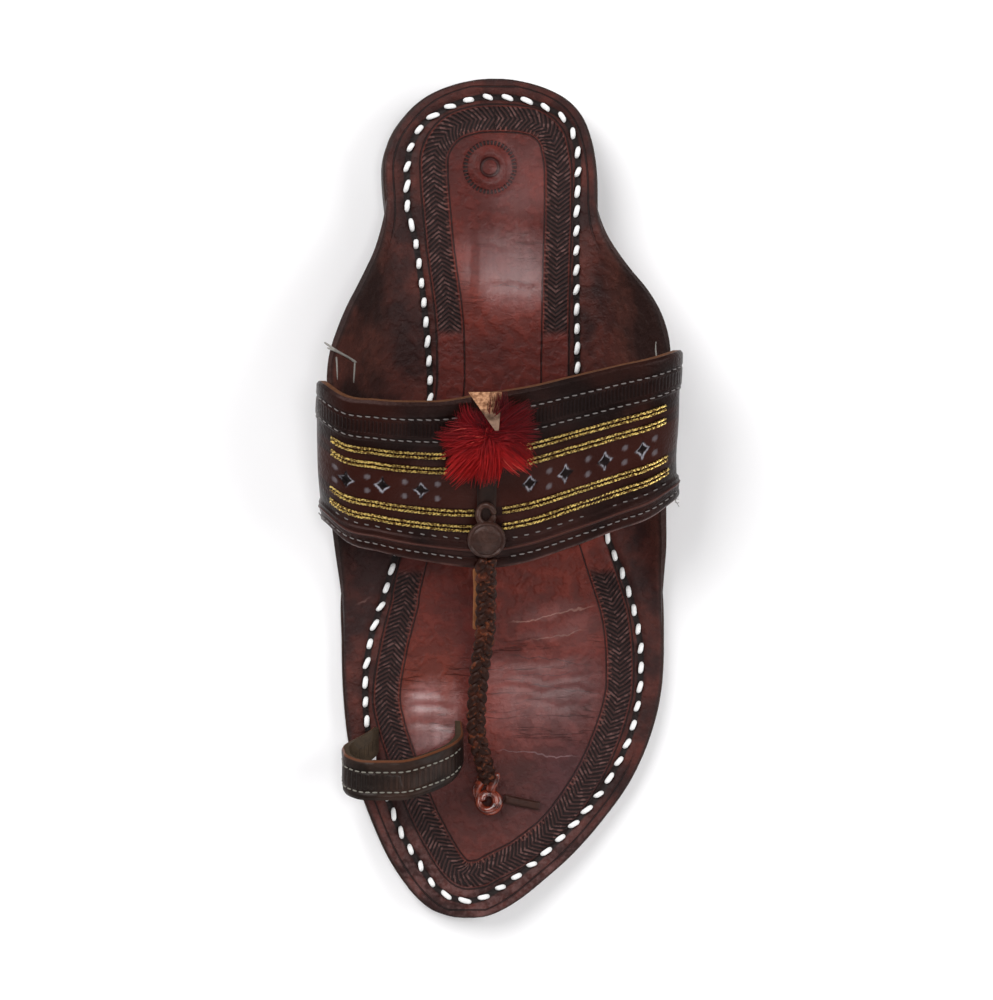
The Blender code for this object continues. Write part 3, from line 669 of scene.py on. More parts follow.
def soleLook():
    # Red-brown footbed, dark stamped border, darker margins and wings.
    look = soleLeather
    graph = Graph("topSoleLeather")
    x, y, _ = graph.position()
    _, stitchAcross, _ = graph.axes("stitchPlace")
    borderAlong, borderAcross, stamp = graph.axes("borderPlace")
    edge, wing, raised = graph.axes("edgePlace")
    wing = graph.mask(wing, 0.02, 0.30)
    patches = graph.noise(26.0, 5.0)
    stains = graph.noise(75.0, 6.0)
    specks = graph.noise(650.0, 4.0)
    # Footbed: redder at the heel, more mauve at the forefoot, with darker stains, painted shade toward the
    # toe and painted shade under and behind the band's rear part.
    red = graph.blend(graph.mask(patches, 0.38, 0.62), *look["bed"])
    mauve = graph.blend(graph.mask(patches, 0.35, 0.65), *look["forefoot"])
    forward = graph.mask(y, -0.030, -0.085)
    bed = graph.blend(forward * graph.mask(x, -0.004, 0.010) * 0.8, red, mauve)
    bed = graph.blend(graph.mask(stains, 0.50, 0.66) * 0.45, bed, look["stain"])
    warm = graph.mask(x, -0.008, -0.016) * forward * graph.mask(y, -0.090, -0.060)
    bed = graph.blend(warm * 0.6, bed, look["warm"])
    # Darker toward the toe: painted shade.
    bed = graph.blend(graph.mask(y, -0.076, -0.092) * 0.55, bed, look["toe"])
    # Darker where the band stands and just behind its rear edge: painted shade from the band.
    bed = graph.blend(graph.mask(y, 0.066, 0.050) * graph.mask(y, 0.0, 0.02) * 0.6, bed, look["waist"])
    bruise = graph.mask(x, 0.010, 0.022) * graph.mask(y, -0.076, -0.090)
    bed = graph.blend(bruise * 0.6, bed, look["bruise"])
    # Margins between the border and the edge.
    margin = graph.blend(graph.mask(stains, 0.35, 0.65), *look["margin"])
    outside = graph.mask(borderAcross, 3.6, 4.4)
    tone = graph.blend(outside, bed, margin)
    # Pale patches on the toe's margins: painted highlight.
    pale = graph.mask(y, -0.092, -0.124) * outside * graph.mask(specks * 0.5 + stains * 0.5, 0.42, 0.60)
    tone = graph.blend(pale * 0.45, tone, look["toeMarginHighlight"])
    # Wings: dark brown with rubbed reddish patches.
    tone = graph.blend(wing, tone, graph.blend(graph.mask(patches, 0.46, 0.60), *look["wing"]))
    # Fine cracks and wrinkles: dark threads across the tread, and the marks of the table.
    tread = graph.near(y, -0.064, 0.024, 0.012) + graph.near(y, 0.076, 0.020, 0.008) * 0.7
    tread = tread * graph.mask(borderAcross, -2.0, -6.0)
    lines = graph.wrinkles((26.0, 230.0, 26.0), 0.020) * graph.patches(70.0, 2.0, 0.42, 0.58) * tread
    tone = graph.blend(lines * 0.40, tone, look["wrinkle"])
    for start, end, tint in markRows:
        tone = graph.blend(graph.line(x, y, start, end) * 0.7, tone, tint)
    # Stamping: feathered strokes across a near-black border with a few pale flecks on its ridges, partly
    # rubbed leather and partly painted highlight.
    rough = (graph.noise(260.0, 3.0) - 0.5) * 1.6
    inside = graph.size(borderAcross)
    stroke = graph.math("FRACT", (borderAlong + rough * 0.6) / 1.55 + inside / 2.1)
    ridge = graph.near(stroke, 0.5, 0.12, 0.34)
    strip = graph.mask(inside + rough * 0.25, 4.1, 3.6) * stamp
    stamped = graph.blend(ridge, *look["stamping"])
    stamped = graph.blend(graph.patches(420.0, 3.0, 0.52, 0.60) * ridge * 0.6, stamped, look["fleck"])
    tone = graph.blend(strip, tone, stamped)
    teeth = graph.stripes(borderAlong, 1.9, 0.26, 0.40) * graph.near(borderAcross, -3.5, 1.0, 0.6) * stamp
    teeth = teeth * graph.patches(120.0, 2.0, 0.46, 0.56)
    tone = graph.blend(teeth * 0.65, tone, look["tooth"])
    grooves = graph.near(inside + rough * 0.18, 4.6, 0.36, 0.10)
    tone = graph.blend(grooves * 0.85, tone, look["groove"])
    # The stitch trough, the line scored beside the edge and the edge itself.
    tone = graph.blend(graph.mask(graph.size(stitchAcross), 1.35, 0.75), tone, look["trough"])
    scored = graph.near(edge, 2.7, 0.40, 0.12) * raised
    tone = graph.blend(scored * 0.8, tone, look["scored"])
    tone = graph.blend(graph.mask(edge, 1.0, 0.1) * 0.7, tone, look["rim"])
    # The round stamp at the heel: a ring of short ticks about a plain dimple.
    fromX = x * 1000.0 - stampForm["x"]
    fromY = y * 1000.0 - stampForm["y"]
    radius = graph.math("SQRT", fromX * fromX + fromY * fromY)
    angle = graph.math("ARCTAN2", fromY, fromX)
    ring = graph.stripes(angle, 2 * math.pi / stampForm["ticks"], 0.14, 0.28)
    ring = ring * graph.near(radius, stampForm["tickRadius"], 0.85, 0.60)
    dimple = graph.near(radius, stampForm["dimple"], 0.7, 0.15)
    dome = graph.near(radius, stampForm["domeRadius"], 2.2, 0.2)
    tone = graph.blend(ring + dimple * 0.8, tone, look["stamp"])
    mottle = graph.patches(330.0, 5.0, 0.62, 0.40)
    tone = graph.blend(mottle * 0.28, tone, look["mottle"])
    tone = graph.blend((specks - 0.35) * 0.35, tone, look["speck"])
    grain = graph.cells(1500.0) * 0.25 + specks * 0.6 + stains * 0.9 - mottle * 1.1
    carved = ridge * strip * 1.0 - strip * 0.6 - grooves * 0.9 - scored * 0.9 + teeth * 0.5
    carved = carved - (ring + dimple) * 0.9 + dome * 0.5 - lines * 0.5
    # Places that shine: round patches with ragged edges, and a dull track at the heel. There the leather is
    # glossier, and its tone is lightened toward pale mauve, which is painted sheen.
    glossAndSheen = 0
    for atX, atY, wide, tall, weight in glossAndSheenRows:
        fromX = (x * 1000.0 - atX) / wide
        fromY = (y * 1000.0 - atY) / tall
        away = graph.math("POWER", fromX * fromX, 1.5) + graph.math("POWER", fromY * fromY, 1.5)
        away = graph.math("POWER", away, 0.333) + (stains - 0.5) * 0.9 + (specks - 0.5) * 0.5
        glossAndSheen = graph.mask(away, 1.25, 0.35) * weight + glossAndSheen
    track = graph.mask(graph.size(x * 1000.0 + 6.8 + (stains - 0.5) * 3.0), 2.4, 0.9)
    track = track * graph.mask(y, 0.0, 0.02)
    brushed = graph.noise(1.0, 4.0, (330.0, 34.0, 60.0))
    glossAndSheen = glossAndSheen * (0.35 + brushed * 1.25) * (1 - track * 0.65) * graph.mask(borderAcross, -3.4, -5.4)
    dull = outside * 0.10 + strip * 0.18 + wing * 0.12
    return graph.finish(
        # The tone lightens toward pale mauve where the leather shines: painted sheen.
        Base_Color=graph.blend(glossAndSheen * 0.32, tone, look["glossAndSheen"]),
        Roughness=look["roughness"] + dull + (specks - 0.5) * 0.25 - glossAndSheen * 0.10,
        Specular_IOR_Level=look["specular"],
        Coat_Weight=glossAndSheen * 1.0,
        Coat_Roughness=0.27,
        Normal=graph.bump(carved, 0.0006, graph.bump(grain, 0.00022)),
    )


def buildTopSole():
    # Both faces lie half a thickness from the middle of the sheet, which is the left wing's
    # curve, straight lines across the flat sole and the right wing's curve, row by row.
    wingColumns, flatColumns, rows = 24, 98, 320
    turn = np.linspace(0, math.pi, rows)
    y = placeY(0.68 * (1 - np.cos(turn)) / 2 + 0.32 * turn / math.pi)[:, None]
    wing = np.linspace(1, 0, wingColumns)[None, :]
    flat = np.linspace(0, 1, flatColumns + 2)[None, 1:-1]
    layers = []
    for outward in (-soleForm["topSole"] / 2, soleForm["topSole"] / 2):
        leftX, leftZ = earSection(y, -1, wing, outward)
        rightX, rightZ = earSection(y, 1, wing[:, ::-1], outward)
        flatX = leftX[:, -1:] + (rightX[:, :1] - leftX[:, -1:]) * flat
        x = np.concatenate([leftX, flatX, rightX], axis=1)
        z = np.concatenate([leftZ, leftZ[:, -1:] + 0 * flatX, rightZ], axis=1)
        layers.append(grid(x, y, z))
    upper, lower = layers
    up = unit(upper - lower)
    x, y = upper[..., 0] * 1000, upper[..., 1] * 1000
    _, _, leftRise = wingShape(y[:, :1] * millimetre, -1)
    _, _, rightRise = wingShape(y[:, :1] * millimetre, 1)
    part = np.concatenate([wing, 0 * flat, wing[:, ::-1]], axis=1)
    rise = np.where(np.arange(x.shape[1]) < wingColumns + flatColumns / 2, leftRise, rightRise)
    lifted = part**2 * rise / wingForm["height"]
    stitchAlong, stitchAcross = trace(x, y, *smoothPath(stitchRows, 420, True))
    borderAlong, borderAcross = trace(x, y, *smoothPath(borderRows, 420, True))
    stamp = np.maximum(smoothStep(y, 54, 57), smoothStep(-y, 22, 26))
    # How far each point is from the rim, square to it.
    edge = 1000 * soleForm["length"] / 2 - np.abs(y)
    for side in (0, -1):
        slope = np.gradient(x[:, side], y[:, side])[:, None]
        edge = np.minimum(edge, np.abs(x - x[:, side, None]) / np.hypot(1, slope))
    # The upper face in millimetres: swollen margins beside the stitch trough, the sunk border,
    # creases, waves in the wings, a worn rim and the heel's stamp.
    height = -0.75 * bell(stitchAcross, 1.3) - 0.35 * smoothStep(3.9 - np.abs(borderAcross), 0, 0.8) * stamp
    height += 0.35 * bell(stitchAcross + 3.2, 1.6) + 0.30 * bell(stitchAcross - 3.0, 1.6)
    height += creased(x, y) * smoothStep(-borderAcross, 2, 6)
    fold = ripple(upper, 0.020, 3) * 0.35 + ripple(upper, 0.055, 5) * 0.55
    height += fold * lifted + ripple(upper, 0.030, 8) * 0.16
    height -= 0.63 * bell(edge, 0.7)
    radius = np.hypot(x - stampForm["x"], y - stampForm["y"])
    height += 0.55 * bell(radius - stampForm["domeRadius"], 1.9) - 0.45 * bell(radius, 2.0)
    height -= 0.25 * bell(radius - stampForm["tickRadius"], 0.9)
    upper = upper + up * (height * millimetre)[..., None]
    marks = {
        "stitchPlace": faceMarks((stitchAlong, stitchAcross, 0)),
        "borderPlace": faceMarks((borderAlong, borderAcross, stamp)),
        "edgePlace": faceMarks((edge, lifted, smoothStep(np.abs(y), 80, 96))),
    }
    addPiece("topSole", slab(upper, lower), soleLook(), "top_sole_leather", "top_sole", marks=marks)


# The outsole and the heel's lifts.
stackForm = {
    "edge": 0.0008,  # how far the faces draw in at the edge
    "breast": 0.793,  # the share of the length where the lifts start
    "hollow": 0.004,  # how far the lifts' front face curves in
    "outsole": ((24, 14, 12), (48, 28, 23), 0.5),
    "lifts": ((16, 11, 10), (32, 21, 18), 0.45),
}


def buildSoleStack():
    # Slabs from the left to the right edge, whose faces draw in toward the edges.
    across = np.array([0, 0.004, 0.012, 0.03, 0.1, 0.25, 0.5, 0.75, 0.9, 0.97, 0.988, 0.996, 1])
    drop = np.array([1, 0.35, 0.08, 0, 0, 0, 0, 0, 0, 0, 0.08, 0.35, 1]) * stackForm["edge"]
    turn = np.linspace(0, math.pi, 170)
    y = placeY((1 - np.cos(turn)) / 2)[:, None]
    left, right = soleEdge(y, -1), soleEdge(y, 1)
    x = left + (right - left) * across
    bottom = grid(x, y, underside(y) + drop)
    top = grid(x, y, underside(y) + soleForm["outsole"] - drop)
    skin = plainLeather("outsoleLeather", *stackForm["outsole"])
    addPiece("outsoleSlab", slab(top, bottom), skin, "outsole_leather", "outsole")
    breast, back = placeY(stackForm["breast"]), soleForm["length"] / 2
    turn = np.linspace(0, math.pi / 2, 60)[:, None]
    straight = breast + (back - breast) * np.sin(turn)
    left, right = soleEdge(straight, -1), soleEdge(straight, 1)
    x = left + (right - left) * across
    y = straight + stackForm["hollow"] * 4 * across * (1 - across) * np.cos(turn)
    skin = plainLeather("liftLeather", *stackForm["lifts"])
    for number in range(soleForm["lifts"]):
        low = number * (soleForm["lift"] + gap)
        shape = slab(grid(x, y, low + soleForm["lift"] - drop), grid(x, y, low + drop))
        addPiece(f"heelLift{number + 1}", shape, skin, "lift_leather", f"heel_lift_{number + 1}")


whiteStitch = {
    "tone": (250, 249, 248),
    "pitch": 0.0065,
    "length": 0.0040,
    "wide": 0.00087,
    "tall": 0.00062,
    "lift": 0.0009,
    "lean": 0.00065,
    "around": 10,
}


def buildWhiteStitches():
    # Beads along the stitch loop, sunk a little into the trough.
    path, _ = smoothPath(stitchRows, 900, True)
    x, y = np.concatenate([path, path[:1]]).T * millimetre
    points = grid(x, y, soleTop(x, y) - 0.0005)
    white = threadLook("whiteStitch", whiteStitch["tone"], 0.55, 500.0, 0.00015)
    addPiece("soleStitches", dashes(points, (0.0, 0.0, 1.0), whiteStitch), white, "top_sole_leather")


# The band: an arch over the instep with a trim along its front and its rear edge.
bandRows = (
    # share across from the middle, front and rear edges as shares of the sole's length
    (-1.00, 0.476, 0.639), (-0.90, 0.456, 0.624), (-0.70, 0.442, 0.617), (-0.40, 0.430, 0.615),
    (-0.10, 0.423, 0.624), (0.15, 0.430, 0.632), (0.40, 0.448, 0.644), (0.65, 0.467, 0.656),
    (0.88, 0.486, 0.667), (1.00, 0.504, 0.675),
)
bandForm = {
    "wall": 0.0030,
    "frontHeight": 0.0435,
    "rearHeight": 0.0610,
    "power": 3.2,  # how square the arch is
    "arch": 0.72,  # the share of each side's steps that the arch takes before the end starts
    "lift": 0.0006 + soleForm["topSole"] / 2,  # from the wing's middle to the band's inner face
    "ends": ((0.468, 0.512), (0.614, 0.646)),  # front, then rear, each left and right
    "trims": (0.158, 0.737),  # where the field starts and ends, as shares of the width
    "cords": (0.672, 0.582, 0.327, 0.234),
    "seams": (0.762, 0.898, 0.061),
    "ladder": 0.832,
    "ridge": 0.109,
    "width": 52.0,  # in millimetres, as are the two sizes below
    "crossSize": 3.7,
    "dotSize": 1.1,
    "crossRow": 0.45,
    "crosses": (-0.0499, -0.0384, -0.0258, 0.0095, 0.0210, 0.0340, 0.0465),
    "dots": (-0.0535, -0.0432, -0.0311, -0.0205, 0.0158, 0.0284, 0.0406, 0.0507),
}
bandLeather = {
    "leather": ((13, 6, 5), (37, 16, 12)),
    # grey round the punched crosses: painted glints on their rims
    "grey": ((92, 90, 98), (172, 170, 178)),  # round the punched crosses
    "suede": ((60, 36, 23), (104, 68, 45)),  # the inner face
    "field": (56, 22, 15),
    # painted shade under the gold cords
    "shadeUnderCord": (14, 8, 7),
    "ladder": (12, 8, 8),
    "ridge": (88, 54, 48),
    "worn": (104, 68, 62),
    "cut": (9, 7, 8),
    "dot": (98, 92, 96),
    "roughness": 0.38,
    "specular": 0.13,
}


def bandInside(step, share):
    # The band's inner face: a squared arc between the wings' edges, its ends on their outsides.
    side = np.where(step < 0, -1, 1)
    size = np.abs(step)
    down = np.clip((size - bandForm["arch"]) / (1 - bandForm["arch"]), 0, 1)
    angle = (1 - np.minimum(size / bandForm["arch"], 1)) * math.pi / 2
    across = side * np.cos(angle) ** (2 / bandForm["power"])
    front, rear = (
        edge + (np.where(side < 0, *end) - edge) * down
        for edge, end in zip((follow(bandRows, 1, across), follow(bandRows, 2, across)), bandForm["ends"])
    )
    y = placeY(front + (rear - front) * share)
    x, z = earSection(y, side, 1 - down * 0.5, bandForm["lift"])
    crown = bandForm["frontHeight"] + (bandForm["rearHeight"] - bandForm["frontHeight"]) * share
    up = np.sin(angle) ** (2 / bandForm["power"])
    arch = down == 0
    return grid(np.where(arch, x * np.abs(across), x), y, np.where(arch, z + (crown - z) * up, z))


def evenSteps(count):
    # Steps across the band whose points are evenly spaced along its middle.
    arch = bandForm["arch"]
    reach = np.linspace(0, 1, 500)
    half = np.concatenate([arch * reach**1.6, arch + (1 - arch) * reach[1:]])
    step = np.concatenate([-half[:0:-1], half])
    travel = travelled(bandInside(step, 0.5 + 0 * step))
    return np.interp(np.linspace(0, travel[-1], count), travel, step)


def bandOutside(step, share, lift=0.0):
    # Points on the band's outer face, the directions that stand out from it and its inner face.
    small = 0.0006
    inner = bandInside(step, share)
    ahead = bandInside(step, share + small) - bandInside(step, share - small)
    beside = bandInside(step + small, share) - bandInside(step - small, share)
    out = unit(np.cross(beside, ahead))
    front, rear = bandForm["trims"]
    trim = np.maximum(smoothStep(front - share, 0, 0.012), smoothStep(share - rear, 0, 0.012))
    wall = bandForm["wall"] * (0.8 + 0.2 * trim)
    return inner + out * (wall + lift)[..., None], out, inner


def bandRun(fromX, toX, share, lift, count):
    # A path along the band's outer face at one share of its width, its outward directions and length.
    step = np.linspace(-1, 1, 3001)
    step = np.sign(step) * np.abs(step) ** 1.6 * bandForm["arch"]
    ends = np.interp((fromX, toX), bandInside(step, share + 0 * step)[:, 0], step)
    steps = np.linspace(*ends, 600)
    path, out, _ = bandOutside(steps, share + 0 * steps, lift + 0 * steps)
    travel = travelled(path)
    at = np.linspace(0, travel[-1], count)
    return between(travel, path, at), between(travel, out, at), travel[-1]


def bandTop(x, y):
    # The band's height near its middle: its inner arc and its wall.
    x, y = np.asarray(x, float), np.asarray(y, float)
    side = np.where(x < 0, -1, 1)
    springX, springZ = earSection(y, side, 1.0, bandForm["lift"])
    across = np.clip(x / springX, 0, 1)
    front = placeY(follow(bandRows, 1, across * side))
    rear = placeY(follow(bandRows, 2, across * side))
    rise = bandForm["rearHeight"] - bandForm["frontHeight"]
    crown = bandForm["frontHeight"] + rise * (y - front) / (rear - front)
    up = (1 - across ** bandForm["power"]) ** (1 / bandForm["power"])
    return springZ + (crown - springZ) * up + bandForm["wall"]


def bandLook():
    look = bandLeather
    graph = Graph("bandLeather")
    along, share, layer = graph.axes("bandPlace")
    cut, dots, _ = graph.axes("bandCuts")
    layer = graph.mask(layer, 0.05, 0.2)
    specks = graph.noise(600.0, 4.0)
    tone = graph.blend(graph.patches(45.0, 5.0, 0.35, 0.65), *look["leather"])
    tone = graph.blend(graph.near(share, bandForm["crossRow"], 0.26, 0.10) * 0.45, tone, look["field"])
    # A darker strip under each gold cord: painted shade.
    for row in bandForm["cords"]:
        tone = graph.blend(graph.near(share, row, 0.030, 0.020) * 0.7, tone, look["shadeUnderCord"])
    ladder = graph.stripes(along, 1.25, 0.18, 0.34) * graph.near(share, bandForm["ladder"], 0.044, 0.034)
    tone = graph.blend(ladder * 0.5, tone, look["ladder"])
    ridge = graph.near(share, bandForm["ridge"], 0.012, 0.004)
    tone = graph.blend(ridge * 0.5, tone, look["ridge"])
    worn = graph.mask(share, 0.022, 0.004) * graph.patches(150.0, 3.0, 0.35, 0.6)
    tone = graph.blend(worn * 0.6, tone, look["worn"])
    # Grey patches on each punched cross's rim: painted glints.
    rim = graph.near(cut, 0.42, 0.42, 0.05) * graph.patches(380.0, 2.0, 0.40, 0.58)
    tone = graph.blend(graph.mask(cut, 0.02, 0.25), tone, look["cut"])
    tone = graph.blend(rim, tone, graph.blend(specks, *look["grey"]))
    tone = graph.blend(dots * 0.8, tone, look["dot"])
    tone = graph.blend(layer, tone, graph.blend(specks, *look["suede"]))
    seams = 0
    for row in bandForm["seams"]:
        seams = graph.near(share, row, 0.010, 0.004) + seams
    grain = specks * 0.5 + graph.cells(1300.0) * 0.3 + graph.noise(160.0, 5.0) * 1.4
    carved = ladder * -0.5 - seams * 0.6 + ridge * 0.8
    return graph.finish(
        Base_Color=tone,
        Roughness=look["roughness"] + (specks - 0.5) * 0.35 + layer * 0.4,
        Specular_IOR_Level=look["specular"],
        Specular_Tint=(1.0, 0.66, 0.62, 1.0),
        Coat_Weight=0.035,
        Coat_Roughness=0.25,
        Normal=graph.bump(carved, 0.0004, graph.bump(grain, 0.00030)),
    )


def buildBand():
    # The outer face is moved by its relief: seams, ridge, punched crosses and dots, soft edges.
    rows, columns = 118, 300
    share = np.linspace(0, 1, rows)[:, None] + np.zeros((1, columns))
    step = evenSteps(columns)[None, :] + np.zeros((rows, 1))
    outer, out, inner = bandOutside(step, share)
    lengths = np.linalg.norm(np.diff(inner, axis=1), axis=-1).mean(axis=0)
    along = np.concatenate([[0], np.cumsum(lengths)]) * 1000
    along = along - along[columns // 2]
    x = outer[..., 0]
    width = bandForm["width"]
    cut = 0 * x
    dots = 0 * x
    # A punched cross: its two offsets to the power 0.66 add up to less than one.
    for middle in bandForm["crosses"]:
        fromX = np.abs((x - middle) * 1000) / bandForm["crossSize"]
        fromY = np.abs((share - bandForm["crossRow"]) * width) / bandForm["crossSize"]
        cut = np.maximum(cut, smoothStep(1 - fromX**0.66 - fromY**0.66, 0, 0.42))
    for middle in bandForm["dots"]:
        for aside in (-0.045, 0.045):
            distance = np.hypot((x - middle) * 1000, (share - bandForm["crossRow"] - aside) * width)
            dots = np.maximum(dots, smoothStep(bandForm["dotSize"] - distance, 0, 0.5))
    height = 0.45 * bell((share - bandForm["ridge"]) * width, 0.45) - 0.7 * cut - 0.35 * dots
    for row in bandForm["seams"]:
        height = height - 0.28 * bell((share - row) * width, 0.55)
    height = height - 0.7 * bell(share * width, 0.55) - 0.7 * bell((1 - share) * width, 0.55)
    height = height + 0.30 * ripple(outer, 0.022, 11) + 0.25 * ripple(outer, 0.045, 12)
    upper = outer + out * (height * millimetre)[..., None]
    marks = {
        "bandPlace": faceMarks((along, share, 0), (along, share, 1)),
        "bandCuts": faceMarks((cut, dots, 0), (0 * cut, 0, 0)),
    }
    addPiece("band", slab(upper, inner), bandLook(), "band_leather", "instep_band", marks=marks)


bandThread = {
    "tone": (112, 106, 104),
    "wide": 0.00023,
    "tall": 0.00020,
    "lift": 0.00018,
    "lean": 0.00012,
    "around": 6,
}
bandThreadRows = (
    # from x, to x, share, pitch, length
    (-0.0560, -0.0140, 0.898, 0.0027, 0.0018),
    (0.0085, 0.0560, 0.898, 0.0027, 0.0018),
    (-0.0560, -0.0200, 0.762, 0.0027, 0.0018),
    (0.0095, 0.0560, 0.762, 0.0027, 0.0018),
    (-0.0520, -0.0120, 0.175, 0.0036, 0.0016),
    (0.0030, 0.0540, 0.163, 0.0036, 0.0016),
    (-0.0560, -0.0115, 0.061, 0.0027, 0.0018),
    (0.0030, 0.0570, 0.061, 0.0027, 0.0018),
)


def buildBandThreads():
    # Beads along rows that lie on the band's outer face.
    shapes = []
    for fromX, toX, share, pitch, length in bandThreadRows:
        path, out, _ = bandRun(fromX, toX, share, 0.00005, 160)
        shapes.append(dashes(path, out, {**bandThread, "pitch": pitch, "length": length}))
    thread = threadLook("greyThread", bandThread["tone"], 0.7)
    addPiece("bandThreads", joined(shapes), thread, "band_leather")


goldCord = {
    # dark and bright gold: the cord's own colour, with painted glints in the bright specks
    "tones": ((88, 56, 15), (248, 218, 128)),
    "twist": 0.0023,  # the length of one turn
    "thick": 0.00022,
    "beside": 0.0128,  # half the distance of a pair, as a share of the band's width
    "lift": 0.00038,
}
goldCordRows = (
    # from x, to x, share
    (-0.0530, -0.0180, 0.672),
    (0.0060, 0.0525, 0.668),
    (-0.0530, -0.0175, 0.582),
    (0.0080, 0.0525, 0.582),
    (-0.0530, -0.0085, 0.327),
    (0.0005, 0.0535, 0.329),
    (-0.0530, -0.0085, 0.234),
    (0.0005, 0.0540, 0.236),
)


def buildGoldCords():
    # Each row is a pair of cords, and each cord two strands that wind round a path on the band.
    perTurn = 9
    thick = goldCord["thick"]
    shapes = []
    for fromX, toX, share in goldCordRows:
        _, _, length = bandRun(fromX, toX, share, 0.0, 3)
        count = int(length / goldCord["twist"] * perTurn)
        turn = np.arange(count) / perTurn * 2 * math.pi
        for beside in (-goldCord["beside"], goldCord["beside"]):
            path, out, _ = bandRun(fromX, toX, share + beside, goldCord["lift"], count)
            side, high = pathAxes(path, out)
            for start in (0, math.pi):
                swing = side * np.cos(turn + start)[:, None] + high * np.sin(turn + start)[:, None]
                shapes.append(strand(path + swing * thick * 1.15, thick, thick, 6, out))
    graph = Graph("goldCord")
    gold = graph.finish(
        # Dark and bright gold in fine specks: the cord's own colour and painted glints.
        Base_Color=graph.blend(graph.patches(1500.0, 2.0, 0.43, 0.62), *goldCord["tones"]),
        Roughness=0.30,
        Metallic=0.6,
    )
    addPiece("goldCords", joined(shapes), gold, "band_leather")


# The dark strip along the band's middle, and the tan tip behind the pompom.
tabForm = {
    "thickness": 0.0015,
    "leather": ((14, 8, 7), (34, 19, 15), 0.5),
    "rows": (
        # share of the length, half width
        (0.440, 0.0028),
        (0.500, 0.0031),
        (0.560, 0.0032),
        (0.590, 0.0034),
        (0.618, 0.0050),
    ),
}
tipForm = {
    "thickness": 0.0009,
    "point": (-0.0024, 0.0224, 0.0006),  # x, y and half width at the point
    "spread": (-0.0034, 0.0124, 0.0048),  # how much each grows to the far end
    "suede": ((116, 78, 56), (182, 136, 104)),
    "soiled": ((46, 36, 32), (116, 94, 82)),
}


def buildTab():
    # A strip on the band whose upper face is flat in its middle and falls at its sides.
    rows = tabForm["rows"]
    y = placeY(np.linspace(rows[0][0], rows[-1][0], 60))[:, None]
    across = np.linspace(-1, 1, 15)[None, :]
    x = middleX + follow(rows, 1, shareAlong(y)) * across
    low = bandTop(x, y) + 1.5 * gap
    swell = tabForm["thickness"] * (1 - 0.5 * np.abs(across) ** 6)
    skin = plainLeather("tabLeather", *tabForm["leather"])
    addPiece("tabStrip", slab(grid(x, y, low + swell), grid(x, y, low)), skin, "tab_leather", "tab")


def suedeLook():
    # The flesh side of the tip: tan, and soiled dark toward its point.
    graph = Graph("tanSuede")
    specks = graph.noise(900.0, 4.0)
    patches = graph.noise(260.0, 4.0)
    tone = graph.blend(graph.mask(specks, 0.35, 0.65), *tipForm["suede"])
    soiled = graph.blend(graph.mask(patches, 0.40, 0.62), *tipForm["soiled"])
    low = graph.mask(graph.position()[1] + (patches - 0.5) * 0.004, 0.0300, 0.0272)
    return graph.finish(
        Base_Color=graph.blend(low * 0.85, tone, soiled),
        Roughness=0.9,
        Specular_IOR_Level=0.1,
        Normal=graph.bump(specks, 0.0004),
    )


def buildTabTip():
    # A flat wedge that rises off the band toward its point.
    part = np.linspace(0, 1, 24)[:, None]
    across = np.linspace(-1, 1, 13)[None, :]
    (startX, startY, startWidth), (addX, addY, addWidth) = tipForm["point"], tipForm["spread"]
    x = startX + addX * part + (startWidth + addWidth * part) * across
    y = startY + addY * part + 0 * across
    low = bandTop(x, y) + tabForm["thickness"] + 0.0012 + 0.0102 * (1 - part) ** 1.05
    shape = slab(grid(x, y, low + tipForm["thickness"]), grid(x, y, low))
    addPiece("tabTip", shape, suedeLook(), "tab_leather")


pompomForm = {
    "along": 0.575,
    "radius": 0.0168,
    "height": 0.0105,
    "fibres": 4600,
    "locks": 26,
    "thick": 0.00017,
    "tones": ((42, 2, 7), (124, 11, 18)),
    "root": (48, 6, 10),
    # brighter red on the front fibres: painted highlight
    "frontHighlight": (208, 34, 30),
    "faded": (220, 96, 80),
}
pompomRows = (
    # share of a turn, share of the radius
    (0.000, 0.92), (0.125, 0.96), (0.175, 0.80), (0.235, 0.38), (0.375, 0.62),
    (0.500, 1.00), (0.625, 1.06), (0.750, 1.02), (0.875, 0.90), (1.000, 0.92),
)


def pompomLook():
    graph = Graph("pompomFibre")
    shade, part, _ = graph.axes("fibrePlace")
    tone = graph.blend(shade, *pompomForm["tones"])
    # Fibres toward the front get a brighter red: painted highlight.
    low = graph.mask(graph.position()[1], 0.024, 0.008)
    tone = graph.blend(low * shade * 0.75, tone, pompomForm["frontHighlight"])
    tone = graph.blend(graph.mask(shade, 0.92, 0.98) * 0.6, tone, pompomForm["faded"])
    tone = graph.blend(graph.mask(part, 0.0, 0.35), pompomForm["root"], tone)
    return graph.finish(Base_Color=tone, Roughness=0.7, Specular_IOR_Level=0.15)


